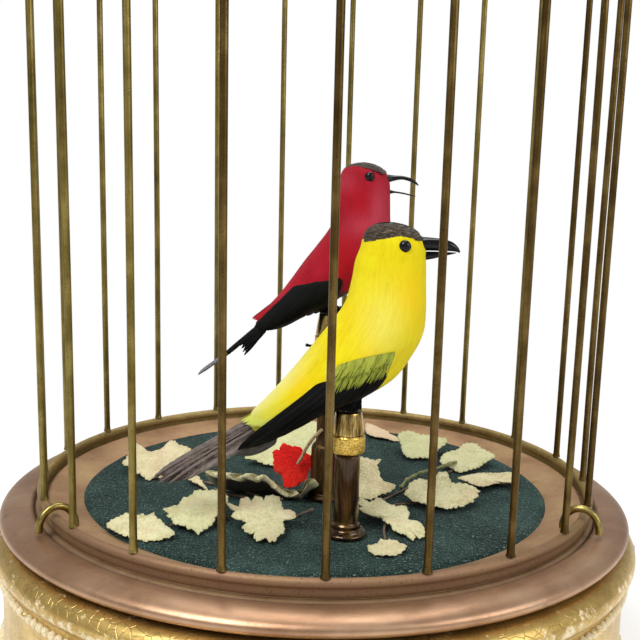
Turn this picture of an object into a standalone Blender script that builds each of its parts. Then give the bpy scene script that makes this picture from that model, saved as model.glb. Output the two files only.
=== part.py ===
"""Singing bird automaton: two feathered birds on brass posts over a flocked floor, inside a wire cage.

The cage stands on a turned base that holds the clockwork, the bellows and the whistle.
Lengths are metres, +Z is up, and the origin is the middle of the base's foot on the table.
"""

import math

import bmesh
import bpy
import numpy as np
from mathutils import Matrix, Vector

MM = 0.001
BASE_STEPS = 42
SMALL_STEPS = 16
TINY_STEPS = 12
SEAT_GAP = 0.0003
RUNNING_GAP = 0.00008

# Cage
RAIL_Z = 0.056
WIRE_COUNT = 21
WIRE_CIRCLE_R = 0.069
WIRE_R = 0.00102
WIRE_LEAN = 0.0113
FIRST_WIRE_DEG = 203.48
CAGE_RING_WALL = 0.0028
CAGE_RING_H = 0.0042
SHOULDER_H = 0.148
SHOULDER_SECTION_R = 0.0017
DOME_H = 0.054
CROWN_R = 0.0075
CROWN_H = 0.009
EYE_R = 0.0029
EYE_WIRE_R = 0.0009
LOOP_R = 0.0115
LOOP_WIRE_R = 0.0011
LOOP_REST_DEG = 96.0
STAPLE_COUNT = 3
FIRST_STAPLE_DEG = 213.4
STAPLE_WIRE_R = 0.00085
STAPLE_SPAN_R = 0.0042

# Floor and base
WIRES_TO_FELT = 0.0099
FELT_R = WIRE_CIRCLE_R - WIRES_TO_FELT
FELT_DROP = 0.0038
FELT_THICK = 0.0010
PAN_THICK = 0.0012
WIRES_TO_RIM = 0.0099
RIM_R = WIRE_CIRCLE_R + WIRES_TO_RIM
RIM_HALF_H = 0.0026
RIM_DROP = 0.0068
MARGIN_RISE = 0.0004
RIM_TO_BAND = 0.0020
DRUM_BAND_R = RIM_R + RIM_TO_BAND
BAND_TO_WAIST = 0.0025
DRUM_WAIST_R = DRUM_BAND_R - BAND_TO_WAIST
WAIST_TO_FOOT = 0.0056
DRUM_FOOT_R = DRUM_WAIST_R + WAIST_TO_FOOT
DRUM_WALL = 0.0085
BOTTOM_Z = 0.0120
BOTTOM_THICK = 0.0020
BOTTOM_REBATE = 0.0040
# Mouldings in mm: out from the band, waist or foot radius, and up from the drum's top or from the ledge
BAND_MOULDING = ((-3.4, 0.0), (-1.4, -0.9), (0.0, -2.8), (0.0, -4.8), (-1.2, -6.2))
WAIST_MOULDING = ((0.0, -7.4),)
SKIRT_MOULDING = ((0.0, 0.4), (1.5, -1.6))
FOOT_MOULDING = ((-1.5, -4.4), (0.0, -7.2))
FOOT_CHAMFER = 0.0008

# Movement
MODULE = 0.0012
BARREL_TEETH = 40
CAM_PINION_TEETH = 10
CAM_WHEEL_TEETH = 30
SECOND_PINION_TEETH = 10
SECOND_WHEEL_TEETH = 24
FLY_PINION_TEETH = 8
BARREL_DRUM_R = 0.0200
BARREL_DRUM_H = 0.0098
WHEEL_THICK = 0.0018
PINION_OVERHANG = 0.0006
WHEEL_SPACING = 0.0016
FLY_BLADE_H = 0.0080
FLY_BLADE_THICK = 0.0008
SECOND_WHEEL_LIFT = 0.0030
ARBOR_R = 0.0016
PIVOT_R = 0.0011
TOP_PLATE_Z = 0.0395
TOP_PLATE_THICK = 0.0015
PILLAR_R = 0.0024
PILLAR_PLACES = ((-0.044, -0.022), (-0.040, 0.026), (0.0585, 0.004), (0.026, -0.054))
TOP_PLATE_CORNERS = (
    (-0.050, -0.028),
    (0.020, -0.060),
    (0.034, -0.056),
    (0.040, -0.034),
    (0.046, -0.016),
    (0.0645, -0.004),
    (0.0645, 0.0095),
    (0.010, 0.0095),
    (-0.030, 0.034),
    (-0.047, 0.034),
)
BARREL_FROM_CAM_DEG = 130.0
SECOND_FROM_CAM_DEG = 0.0
FLY_FROM_SECOND_DEG = 60.0
FLY_BLADE_R = 0.0080
CAM_WAVE = 0.0007
CAM_RIM_W = 0.0026
CAM_CLEARANCE = 0.0006
CAM_WEB_THICK = 0.0012
CAM_LOBES = 7
KEY_SHANK_R = 0.0020
KEY_W = 0.0240
KEY_H = 0.0078
KEY_THICK = 0.0018
KEY_CLEARANCE = 0.0010
KEY_REACH = 0.0080
KEY_COLLAR_R = 0.0034
CHEST_SIZE = (0.036, 0.028, 0.0080)
CHEST_CORNER = (0.014, 0.011)
BOARD_THICK = 0.0018
WHISTLE_R = 0.0042
WHISTLE_BORE_R = 0.0030
WHISTLE_L = 0.034
PISTON_HEAD = (0.004, 0.009)
PISTON_WIRE_R = 0.0008
PISTON_WIRE_OUT = 0.006
WHISTLE_STOP = 0.004
WHISTLE_MOUTH = (0.0026, 0.0054)
LEVER_Z = 0.0372
LEVER_PIVOT = (0.052, -0.026)
FOOT_TO_KNOB = 0.0016
LEVER_REACH_R = DRUM_FOOT_R - FOOT_TO_KNOB
LEVER_END_DEG = -2.0
LEVER_HALF_W = 0.0020
LEVER_THICK = 0.0010
LEVER_SWING_ROOM = 0.0024
KNOB_R = 0.0015

# Birds: places are measured from the top of the cage's bottom ring
TUBE_R = 0.00285
SPIGOT_R = 0.0019
SPIGOT_L = 0.0062
ROD_R = 0.0006
ROD_BORE_R = 0.0009
FERRULE_TOP_R = 0.0030
FERRULE_SKIRT_R = 0.0039
FERRULE_BAND_R = 0.0041
FERRULE_BAND_H = 0.0041
FERRULE_TAPER_H = 0.0051
FERRULE_EDGE = 0.00022
SLEEVE_H = 0.0140
SHANK_BELOW_PAN = 0.0020
FLANGE_R = 0.0052
FLANGE_STEP_R = 0.0037
FLANGE_H = 0.0030
CUFF_R = 0.0028
CUFF_H = 0.0040
ROD_TRAVEL = 0.0012
BEAK_KNUCKLE_R = 0.0016
BEAK_KNUCKLE_W = 0.0030
TAIL_KNUCKLE_R = 0.0018
TAIL_KNUCKLE_W = 0.0034
WING_GAP = 0.00035
WING_THICK = 0.0011
WING_STATIONS = (7.9, 13.15)
WING_EDGES_DEG = (24.0, 80.0)

# Bird outline in mm: breast point, back point and half width of each slice from the crown to the rump
BODY_SLICES = (
    ((15.6, 66.95), (14.4, 66.95), 0.6),
    ((18.8, 66.2), (11.3, 66.5), 3.4),
    ((21.4, 64.6), (9.4, 64.8), 5.1),
    ((22.6, 62.0), (8.5, 61.5), 6.0),
    ((22.9, 58.5), (7.5, 58.6), 6.5),
    ((23.1, 53.5), (6.8, 54.2), 7.3),
    ((23.3, 48.5), (5.4, 49.2), 8.6),
    ((23.0, 43.8), (2.0, 44.2), 9.6),
    ((21.2, 39.3), (-1.6, 39.5), 10.0),
    ((17.0, 33.2), (-5.0, 34.6), 9.6),
    ((10.2, 28.8), (-8.2, 30.2), 8.4),
    ((1.0, 24.8), (-11.2, 26.8), 6.4),
    ((-7.5, 20.0), (-14.2, 23.9), 4.4),
    ((-13.8, 17.0), (-17.4, 21.2), 3.0),
    ((-17.6, 14.6), (-19.8, 18.2), 2.4),
)
BODY_SIDES = 14
BODY_END = 12.72
UPPER_BEAK = (
    ((20.6, 61.5), (20.6, 64.4), 2.1),
    ((22.6, 61.45), (22.8, 64.1), 1.9),
    ((25.4, 61.4), (26.0, 64.0), 1.35),
    ((27.9, 61.4), (28.3, 63.2), 0.9),
    ((29.7, 61.0), (30.1, 61.9), 0.35),
)
LOWER_BEAK = (
    ((21.2, 59.4), (21.2, 60.9), 1.3),
    ((23.6, 59.2), (23.6, 61.05), 1.3),
    ((26.4, 59.9), (26.4, 61.1), 0.9),
    ((29.2, 60.8), (29.2, 61.1), 0.3),
)
TAIL_SLICES = (
    ((-15.4, 18.9), (-16.0, 20.3), 1.5),
    ((-19.4, 15.3), (-21.0, 19.4), 2.1),
    ((-24.5, 10.9), (-26.2, 16.2), 2.5),
    ((-30.3, 8.1), (-32.4, 12.4), 2.6),
    ((-34.6, 7.2), (-36.4, 9.6), 2.0),
)
HEAD_TOP = (14.5, 67.0)
BEAK_HINGE = (21.5, 60.3)
TAIL_HINGE = (-15.6, 19.5)

# Leaves: centre in mm, heading, length, width and the middle point of the stalk
LEFT_LEAVES = (
    ((-37.5, -40.0), 188.0, 17.0, 15.0, (-18.0, -27.5)),
    ((-28.8, -29.0), 166.0, 16.0, 14.0, (-13.0, -24.5)),
    ((-11.5, -36.5), 200.0, 18.0, 17.0, (-4.5, -27.0)),
    ((-13.5, -13.0), 168.0, 24.0, 6.0, (-6.0, -17.0)),
    ((-42.5, 9.0), 160.0, 19.0, 15.0, (-22.0, -3.0)),
    ((-11.0, 25.0), 125.0, 22.0, 17.0, (-14.5, 2.0)),
)
RIGHT_LEAVES = (
    ((17.0, -31.0), -38.0, 20.0, 11.0, (11.8, -24.0)),
    ((31.5, -13.5), 4.0, 18.0, 15.0, (19.0, -17.5)),
    ((15.5, 0.5), 62.0, 17.0, 12.0, (12.0, -12.0)),
    ((43.5, 2.5), 12.0, 17.0, 7.0, (23.0, -4.0)),
    ((42.0, 20.0), 28.0, 15.0, 11.0, (25.0, 5.0)),
    ((27.0, 26.0), 60.0, 15.0, 14.0, (20.0, 8.0)),
    ((16.5, 43.0), 78.0, 12.0, 9.0, (15.5, 20.0)),
    ((14.5, -49.0), -80.0, 9.0, 9.0, (15.8, -35.0)),
)
LEFT_ROOT = (-5.0, -21.0)
RIGHT_ROOT = (11.0, -21.0)
LEAF_THICK = 0.0006
STEM_R = 0.0006
LEAF_LIFT = 0.00025
LEAF_CLEARANCE = 0.0002
LEAF_DROOP_DEG = 5.0
FLOWER_CENTRE = (-0.0072, -0.0050)
FLOWER_R = 0.0044
FLOWER_H = 0.0100
BLOOM_STEM_RISE = 0.0134

PARTS = None
CUTTERS = None


def clear_scene():
    for old in list(bpy.data.objects):
        bpy.data.objects.remove(old, do_unlink=True)


def new_collections():
    global PARTS, CUTTERS
    PARTS = bpy.data.collections.new("singing_bird_automaton")
    CUTTERS = bpy.data.collections.new("cutters")
    for group in (PARTS, CUTTERS):
        bpy.context.scene.collection.children.link(group)


# Materials


def material(name, colour, rough, metal=0.0):
    found = bpy.data.materials.get(name)
    if found:
        return found
    made = bpy.data.materials.new(name)
    made.use_nodes = True
    shader = made.node_tree.nodes["Principled BSDF"]
    shader.inputs["Base Color"].default_value = (*colour, 1.0)
    shader.inputs["Roughness"].default_value = rough
    shader.inputs["Metallic"].default_value = metal
    return made


def aged_brass():
    return material("aged_brass", (0.30, 0.22, 0.08), 0.38, 1.0)


def bright_brass():
    return material("bright_brass", (0.62, 0.42, 0.10), 0.28, 1.0)


def dark_brass():
    return material("dark_brass", (0.20, 0.12, 0.04), 0.35, 1.0)


def copper_satin():
    return material("copper_satin", (0.45, 0.30, 0.21), 0.45, 0.8)


def gilt_wood():
    return material("gilt_wood", (0.72, 0.58, 0.30), 0.45, 0.4)


def green_flock():
    return material("green_flock", (0.02, 0.05, 0.045), 0.95)


def leaf_fabric():
    return material("leaf_fabric", (0.66, 0.64, 0.36), 0.9)


def steel():
    return material("steel", (0.55, 0.55, 0.56), 0.3, 1.0)


# Objects


def add_object(name, mesh, finish, helper=False):
    made = bpy.data.objects.new(name, mesh)
    if helper:
        CUTTERS.objects.link(made)
        made.hide_render = True
        made.display_type = "WIRE"
        return made
    PARTS.objects.link(made)
    made.data.materials.append(finish)
    return made


def from_bmesh(name, work, finish, helper=False, smooth=True):
    bmesh.ops.recalc_face_normals(work, faces=work.faces)
    mesh = bpy.data.meshes.new(name)
    work.to_mesh(mesh)
    work.free()
    if smooth:
        mesh.shade_smooth()
        mesh.set_sharp_from_angle(angle=math.radians(35))
    return add_object(name, mesh, finish, helper)


def as_mesh(shape):
    """A curve or a modified object made a plain mesh object, with its caps welded."""
    graph = bpy.context.evaluated_depsgraph_get()
    graph.update()
    mesh = bpy.data.meshes.new_from_object(shape.evaluated_get(graph))
    work = bmesh.new()
    work.from_mesh(mesh)
    bmesh.ops.remove_doubles(work, verts=work.verts, dist=1e-6)
    bmesh.ops.recalc_face_normals(work, faces=work.faces)
    work.to_mesh(mesh)
    work.free()
    made = bpy.data.objects.new(shape.name + "_mesh", mesh)
    made.matrix_world = shape.matrix_world
    for group in shape.users_collection:
        group.objects.link(made)
    made.hide_render = shape.hide_render
    made.display_type = shape.display_type
    name = shape.name
    bpy.data.objects.remove(shape, do_unlink=True)
    made.name = name
    return made


def put_origin(made, point):
    """Moves a mesh's origin to a point of its joint axis. The mesh was made in the object's frame."""
    made.data.transform(Matrix.Translation(-Vector(point)))
    made.location = point


def boolean(target, tool, operation):
    """Adds a Boolean with the tool, which moves to the cutters."""
    step = target.modifiers.new(operation.lower() + "_" + tool.name, "BOOLEAN")
    step.operation = operation
    step.object = tool
    step.solver = "EXACT"
    if tool.name not in CUTTERS.objects:
        for group in list(tool.users_collection):
            group.objects.unlink(tool)
        CUTTERS.objects.link(tool)
    tool.hide_render = True
    tool.display_type = "WIRE"
    return step


def cut(target, tool):
    boolean(target, tool, "DIFFERENCE")


def join(target, tool):
    boolean(target, tool, "UNION")


def turned(name, profile, finish, steps=BASE_STEPS, at=(0, 0, 0), closed=False, helper=False):
    """Turns a profile of (radius, height) pairs, which runs down its outer side, about its own Z axis."""
    mesh = bpy.data.meshes.new(name)
    count = len(profile)
    edges = [(i, i + 1) for i in range(count - 1)]
    if closed:
        edges.append((count - 1, 0))
    mesh.from_pydata([(r, 0, z) for r, z in profile], edges, [])
    made = add_object(name, mesh, finish, helper)
    made.location = at
    screw = made.modifiers.new("turn", "SCREW")
    screw.angle = 2 * math.pi
    screw.steps = steps
    screw.render_steps = steps
    screw.use_merge_vertices = True
    screw.merge_threshold = 1e-6
    screw.use_smooth_shade = True
    return made


def rod_shape(name, radius, low, high, at, finish, steps=16, helper=False):
    """A plain round rod along Z."""
    profile = ((0, high), (radius, high), (radius, low), (0, low))
    return turned(name, profile, finish, steps, (at[0], at[1], 0), helper=helper)


def box(name, low, high, finish, helper=False):
    work = bmesh.new()
    middle = [(a + b) / 2 for a, b in zip(low, high)]
    sizes = [b - a for a, b in zip(low, high)]
    bmesh.ops.create_cube(work, size=1.0, matrix=Matrix.Translation(middle) @ Matrix.Diagonal((*sizes, 1)))
    return from_bmesh(name, work, finish, helper, smooth=False)


def cylinder(name, radius, start, end, finish, sides=24, helper=False):
    """A plain cylinder between two points."""
    start, end = Vector(start), Vector(end)
    along = end - start
    turn = along.to_track_quat("Z", "Y").to_matrix().to_4x4()
    work = bmesh.new()
    bmesh.ops.create_cone(
        work,
        cap_ends=True,
        segments=sides,
        radius1=radius,
        radius2=radius,
        depth=along.length,
        matrix=Matrix.Translation((start + end) / 2) @ turn,
    )
    return from_bmesh(name, work, finish, helper)


def wire(name, points, radius, finish, cyclic=False, resolution=2, helper=False):
    """A round wire along the points."""
    path = bpy.data.curves.new(name, "CURVE")
    path.dimensions = "3D"
    path.bevel_depth = radius
    path.bevel_resolution = resolution
    path.use_fill_caps = True
    line = path.splines.new("POLY")
    line.points.add(len(points) - 1)
    for place, point in zip(line.points, points):
        place.co = (*point, 1)
    line.use_cyclic_u = cyclic
    line.use_smooth = True
    return add_object(name, path, finish, helper)


def flat_plate(name, outlines, low, high, finish, helper=False):
    """A flat plate between two heights: the first outline is its edge, and the others are holes."""
    shape = bpy.data.curves.new(name, "CURVE")
    shape.dimensions = "2D"
    shape.fill_mode = "BOTH"
    shape.extrude = (high - low) / 2
    for outline in outlines:
        line = shape.splines.new("POLY")
        line.points.add(len(outline) - 1)
        for place, (x, y) in zip(line.points, outline):
            place.co = (x, y, 0, 1)
        line.use_cyclic_u = True
    made = add_object(name, shape, finish, helper)
    made.location.z = (low + high) / 2
    return as_mesh(made)


def circle(radius, at=(0, 0), count=24, phase=0.0):
    return [
        (at[0] + radius * math.cos(phase + 2 * math.pi * i / count),
         at[1] + radius * math.sin(phase + 2 * math.pi * i / count))
        for i in range(count)
    ]


def around(radius, count):
    """The radius of a polygon hole whose flats clear a round pin of this radius."""
    return (radius + RUNNING_GAP) / math.cos(math.pi / count)


def polar(radius, degrees, at=(0, 0)):
    angle = math.radians(degrees)
    return (at[0] + radius * math.cos(angle), at[1] + radius * math.sin(angle))


# Cage


def cage_ring():
    """The band that the wires stand on, with a bead along its top."""
    inner = WIRE_CIRCLE_R - CAGE_RING_WALL / 2
    outer = WIRE_CIRCLE_R + CAGE_RING_WALL / 2
    bead = CAGE_RING_WALL / 4
    low = RAIL_Z - CAGE_RING_H
    profile = (
        (inner + bead, RAIL_Z),
        (outer - bead, RAIL_Z),
        (outer, RAIL_Z - 1.5 * bead),
        (outer - bead, RAIL_Z - 3 * bead),
        (outer - bead, low),
        (inner + bead, low),
        (inner + bead, RAIL_Z - 3 * bead),
        (inner, RAIL_Z - 1.5 * bead),
    )
    turned("cage_bottom_ring", profile, aged_brass(), closed=True)


def wire_radius_at(height):
    return WIRE_CIRCLE_R + WIRE_LEAN * height


def cage_wires():
    """The upright wires, a little wider apart at the shoulder than at the foot."""
    top = SHOULDER_H - SHOULDER_SECTION_R - SEAT_GAP
    for index in range(WIRE_COUNT):
        angle = FIRST_WIRE_DEG + 360 * index / WIRE_COUNT
        points = []
        for height in (SEAT_GAP, top):
            points.append((*polar(wire_radius_at(height), angle), RAIL_Z + height))
        wire(f"cage_wire_{index + 1:02d}", points, WIRE_R, aged_brass())


def cage_dome():
    """The shoulder ring, the domed ribs soldered to it and the crown that they meet in, with its eye."""
    shoulder_r = wire_radius_at(SHOULDER_H)
    shoulder_z = RAIL_Z + SHOULDER_H
    crown_z = shoulder_z + DOME_H
    ring_profile = [
        (shoulder_r + SHOULDER_SECTION_R * math.cos(a), shoulder_z + SHOULDER_SECTION_R * math.sin(a))
        for a in (math.pi / 2 - i * math.pi / 3 for i in range(6))
    ]
    dome = turned("cage_dome", ring_profile, aged_brass(), 2 * WIRE_COUNT, closed=True)
    dome = as_mesh(dome)
    crown = (
        (0, crown_z + CROWN_H),
        (CROWN_R * 0.34, crown_z + CROWN_H),
        (CROWN_R * 0.40, crown_z + CROWN_H * 0.62),
        (CROWN_R * 0.72, crown_z + CROWN_H * 0.36),
        (CROWN_R, crown_z + WIRE_R),
        (CROWN_R, crown_z - 2.2 * WIRE_R),
        (CROWN_R * 0.5, crown_z - 3.6 * WIRE_R),
        (0, crown_z - 3.6 * WIRE_R),
    )
    join(dome, as_mesh(turned("crown", crown, aged_brass(), SMALL_STEPS)))
    last = math.acos(0.55 * CROWN_R / shoulder_r)
    for index in range(WIRE_COUNT):
        angle = FIRST_WIRE_DEG + 360 * index / WIRE_COUNT
        points = []
        for share in (0, 0.27, 0.53, 0.78, 1.0):
            lift = last * share
            flat = polar(shoulder_r * math.cos(lift), angle)
            points.append((*flat, shoulder_z + DOME_H * math.sin(lift)))
        join(dome, as_mesh(wire(f"dome_rib_{index}", points, WIRE_R, aged_brass(), resolution=1)))
    eye_z = crown_z + CROWN_H + EYE_R
    ring = [(x, 0, z) for x, z in circle(EYE_R, (0, eye_z), 12, math.pi / 2)]
    join(dome, as_mesh(wire("eye", ring, EYE_WIRE_R, aged_brass(), cyclic=True, resolution=1)))
    dome.data.materials.clear()
    dome.data.materials.append(aged_brass())
    return eye_z


def hanging_loop(eye_z):
    """The loop that hangs the cage. It lies over to one side when the cage stands on a table."""
    pivot = bpy.data.objects.new("hanging_loop_pivot", None)
    PARTS.objects.link(pivot)
    pivot.location = (0, 0, eye_z)
    ring = [(0, y, z) for y, z in circle(LOOP_R, (0, LOOP_R), 24, -math.pi / 2)]
    made = wire("hanging_loop", ring, LOOP_WIRE_R, aged_brass(), cyclic=True, resolution=1)
    made.parent = pivot
    pivot.rotation_euler.y = -math.radians(LOOP_REST_DEG)


def staples():
    """The bent wire clips that hold the cage's ring down on the floor pan."""
    for index, place in enumerate(("left", "right", "back")):
        angle = FIRST_STAPLE_DEG + 360 * index / STAPLE_COUNT
        points = []
        low = RAIL_Z - RIM_DROP + RIM_HALF_H + 2 * SEAT_GAP + STAPLE_WIRE_R
        for lift in np.linspace(0, math.pi, 9):
            flat = polar(WIRE_CIRCLE_R + STAPLE_SPAN_R * math.cos(lift), angle)
            points.append((*flat, low + (STAPLE_SPAN_R * 1.15) * math.sin(lift)))
        wire(f"cage_staple_{place}", points, STAPLE_WIRE_R, bright_brass())


# Floor and base


def felt_top():
    return RAIL_Z - FELT_DROP


def pan_top():
    return felt_top() - FELT_THICK - SEAT_GAP


def post_places():
    return tuple((bird.post_x, bird.plane_y) for bird in BIRDS)


def felt_floor():
    outlines = [circle(FELT_R, count=BASE_STEPS)]
    for place in post_places():
        outlines.append(circle(around(SPIGOT_R + SEAT_GAP, TINY_STEPS), place, TINY_STEPS))
    flat_plate("felt_floor", outlines, felt_top() - FELT_THICK, felt_top(), green_flock())


def floor_pan():
    """The turned pan: a floor for the felt, a sloping margin, a seat for the cage and a rounded rim."""
    floor = pan_top()
    ring_low = RAIL_Z - CAGE_RING_H - SEAT_GAP
    seat_in = WIRE_CIRCLE_R - CAGE_RING_WALL / 2 - SEAT_GAP
    seat_out = WIRE_CIRCLE_R + CAGE_RING_WALL / 2 + SEAT_GAP
    rim_z = RAIL_Z - RIM_DROP
    rim_half_w = (RIM_R - seat_out) * 0.66
    rim_middle = RIM_R - rim_half_w
    margin = felt_top() + MARGIN_RISE
    outer = [
        (0, floor),
        (FELT_R + SEAT_GAP, floor),
        (FELT_R + SEAT_GAP, margin),
        (0.5 * (FELT_R + seat_in), margin + 0.25 * MARGIN_RISE),
        (seat_in - MARGIN_RISE, margin + 1.5 * MARGIN_RISE),
        (seat_in, margin + 0.5 * MARGIN_RISE),
        (seat_in, ring_low),
        (seat_out, ring_low),
        (seat_out + 1.5 * SEAT_GAP, rim_z + 0.62 * RIM_HALF_H),
    ]
    for angle in np.radians((100, 62, 30, 0, -35, -75)):
        outer.append((rim_middle + rim_half_w * math.cos(angle), rim_z + RIM_HALF_H * math.sin(angle)))
    under = rim_z - RIM_HALF_H
    outer += [
        (seat_in, under),
        (FELT_R, floor - PAN_THICK),
        (0, floor - PAN_THICK),
    ]
    pan = turned("floor_pan", outer, copper_satin())
    for index, place in enumerate(post_places()):
        radius = around(SPIGOT_R, TINY_STEPS)
        low, high = floor - 3 * PAN_THICK, floor + PAN_THICK
        hole = rod_shape(f"pan_hole_{index}", radius, low, high, place, steel(), TINY_STEPS, helper=True)
        cut(pan, as_mesh(hole))


def moulding(steps, radius, height):
    """A stretch of moulding: each step is (out, up) in mm from this radius and height."""
    return [(radius + out * MM, height + up * MM) for out, up in steps]


def base_drum():
    """The turned and gilded drum, with a ledge for the bottom plate and a slot for the stop lever."""
    top = RAIL_Z - RIM_DROP - RIM_HALF_H - SEAT_GAP
    inner = DRUM_WAIST_R - DRUM_WALL
    ledge = BOTTOM_Z + BOTTOM_THICK + SEAT_GAP
    profile = [
        *moulding(BAND_MOULDING, DRUM_BAND_R, top),
        *moulding(WAIST_MOULDING, DRUM_WAIST_R, top),
        *moulding(SKIRT_MOULDING, DRUM_WAIST_R, ledge),
        *moulding(FOOT_MOULDING, DRUM_FOOT_R, ledge),
        (DRUM_FOOT_R, FOOT_CHAMFER),
        (DRUM_FOOT_R - FOOT_CHAMFER, 0),
        (inner + BOTTOM_REBATE, 0),
        (inner + BOTTOM_REBATE, ledge),
        (inner, ledge),
        (inner, top),
    ]
    drum = turned("base_drum", profile, gilt_wood(), closed=True)
    place, length = lever_place()
    half = LEVER_HALF_W + LEVER_SWING_ROOM
    slot = box(
        "lever_slot",
        (0, -half, LEVER_Z - LEVER_THICK),
        (1.3 * length, half, LEVER_Z + 2 * LEVER_THICK),
        gilt_wood(),
        helper=True,
    )
    slot.matrix_world = place
    cut(drum, slot)


# Movement


def cam_centre():
    first, second = post_places()
    return ((first[0] + second[0]) / 2, (first[1] + second[1]) / 2)


def rod_circle_r():
    first, second = post_places()
    return math.dist(first, second) / 2


def pitch_r(teeth):
    return MODULE * teeth / 2


def barrel_centre():
    return polar(pitch_r(BARREL_TEETH) + pitch_r(CAM_PINION_TEETH), BARREL_FROM_CAM_DEG, cam_centre())


def second_centre():
    apart = pitch_r(CAM_WHEEL_TEETH) + pitch_r(SECOND_PINION_TEETH)
    return polar(apart, SECOND_FROM_CAM_DEG, cam_centre())


def fly_centre():
    apart = pitch_r(SECOND_WHEEL_TEETH) + pitch_r(FLY_PINION_TEETH)
    return polar(apart, FLY_FROM_SECOND_DEG, second_centre())


def gear_outline(teeth, at, phase_deg):
    """Tapered teeth with rounded-off tips and backlash. Phase is the heading of the first tooth."""
    pitch = 2 * math.pi / teeth
    radius = pitch_r(teeth)
    outline = []
    for tooth in range(teeth):
        middle = math.radians(phase_deg) + tooth * pitch
        for share, reach in ((-0.27, -1.15), (-0.12, 0.85), (0.12, 0.85), (0.27, -1.15)):
            angle = middle + share * pitch
            r = radius + reach * MODULE
            outline.append((at[0] + r * math.cos(angle), at[1] + r * math.sin(angle)))
    return outline


def mesh_phase(teeth, heading_deg):
    """The phase that puts a gap, not a tooth, at this heading."""
    return heading_deg + 180 / teeth


def gear(name, teeth, at, phase_deg, low, high, finish):
    outlines = [gear_outline(teeth, at, phase_deg), circle(ARBOR_R * 0.5, at, 8)]
    return flat_plate(name, outlines, low, high, finish)


def arbor(name, at):
    """A turned arbor with thinner pivots that run in the two plates."""
    lower = BOTTOM_Z + BOTTOM_THICK
    upper = TOP_PLATE_Z
    profile = (
        (0, upper + TOP_PLATE_THICK),
        (PIVOT_R, upper + TOP_PLATE_THICK),
        (PIVOT_R, upper - SEAT_GAP),
        (ARBOR_R, upper - SEAT_GAP),
        (ARBOR_R, lower + SEAT_GAP),
        (PIVOT_R, lower + SEAT_GAP),
        (PIVOT_R, lower - BOTTOM_THICK),
        (0, lower - BOTTOM_THICK),
    )
    return as_mesh(turned(name, profile, steel(), TINY_STEPS, (at[0], at[1], 0)))


def barrel():
    """The mainspring barrel with its wheel, a boss that runs in the bottom plate and a bore for the key."""
    at = barrel_centre()
    low = BOTTOM_Z + BOTTOM_THICK + 2 * SEAT_GAP
    drum_low = low + PINION_OVERHANG
    drum_high = drum_low + BARREL_DRUM_H
    bore = KEY_SHANK_R + 1.25 * RUNNING_GAP
    boss = 2 * KEY_SHANK_R
    profile = (
        (0, TOP_PLATE_Z + TOP_PLATE_THICK),
        (PIVOT_R, TOP_PLATE_Z + TOP_PLATE_THICK),
        (PIVOT_R, TOP_PLATE_Z - SEAT_GAP),
        (boss, TOP_PLATE_Z - SEAT_GAP),
        (boss, drum_high + WHEEL_THICK),
        (BARREL_DRUM_R, drum_high + WHEEL_THICK),
        (BARREL_DRUM_R, drum_low),
        (boss, drum_low),
        (boss, BOTTOM_Z),
        (bore, BOTTOM_Z),
        (bore, drum_high),
        (0, drum_high),
    )
    made = as_mesh(turned("mainspring_barrel", profile, bright_brass(), 24, (at[0], at[1], 0)))
    toward_cam = BARREL_FROM_CAM_DEG + 180
    outlines = [gear_outline(BARREL_TEETH, at, toward_cam), circle(boss * 1.5, at, 16)]
    join(made, flat_plate("barrel_wheel", outlines, drum_high, drum_high + WHEEL_THICK, bright_brass()))
    return drum_high, drum_high + WHEEL_THICK


def winding_key():
    """The key: a lobed grip in the base's recess and a round shank that reaches into the barrel."""
    at = barrel_centre()
    grip_high = KEY_CLEARANCE + KEY_H
    collar_low = grip_high - 0.25 * KEY_H
    collar_high = grip_high + 0.15 * KEY_H
    shank_top = BOTTOM_Z + BOTTOM_THICK + KEY_REACH
    profile = (
        (0, shank_top),
        (KEY_SHANK_R, shank_top),
        (KEY_SHANK_R, collar_high),
        (KEY_COLLAR_R, collar_high),
        (KEY_COLLAR_R, collar_low),
        (0, collar_low),
    )
    key = as_mesh(turned("winding_key", profile, steel(), TINY_STEPS, (at[0], at[1], 0)))
    half, tall = KEY_W / 2, KEY_H / 2
    outline = []
    for turn in np.linspace(0, 2 * math.pi, 25)[:-1]:
        waist = 0.62 + 0.38 * abs(math.cos(turn))
        outline.append((half * math.cos(turn), tall * math.sin(turn) * waist))
    holes = [circle(tall * 0.42, (side * half * 0.55, 0), 12) for side in (-1, 1)]
    grip = flat_plate("key_grip", [outline, *holes], -KEY_THICK / 2, KEY_THICK / 2, steel())
    upright = Matrix.Rotation(math.pi / 2, 4, "X")
    grip.matrix_world = Matrix.Translation((at[0], at[1], KEY_CLEARANCE + tall)) @ upright
    join(key, grip)


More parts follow.
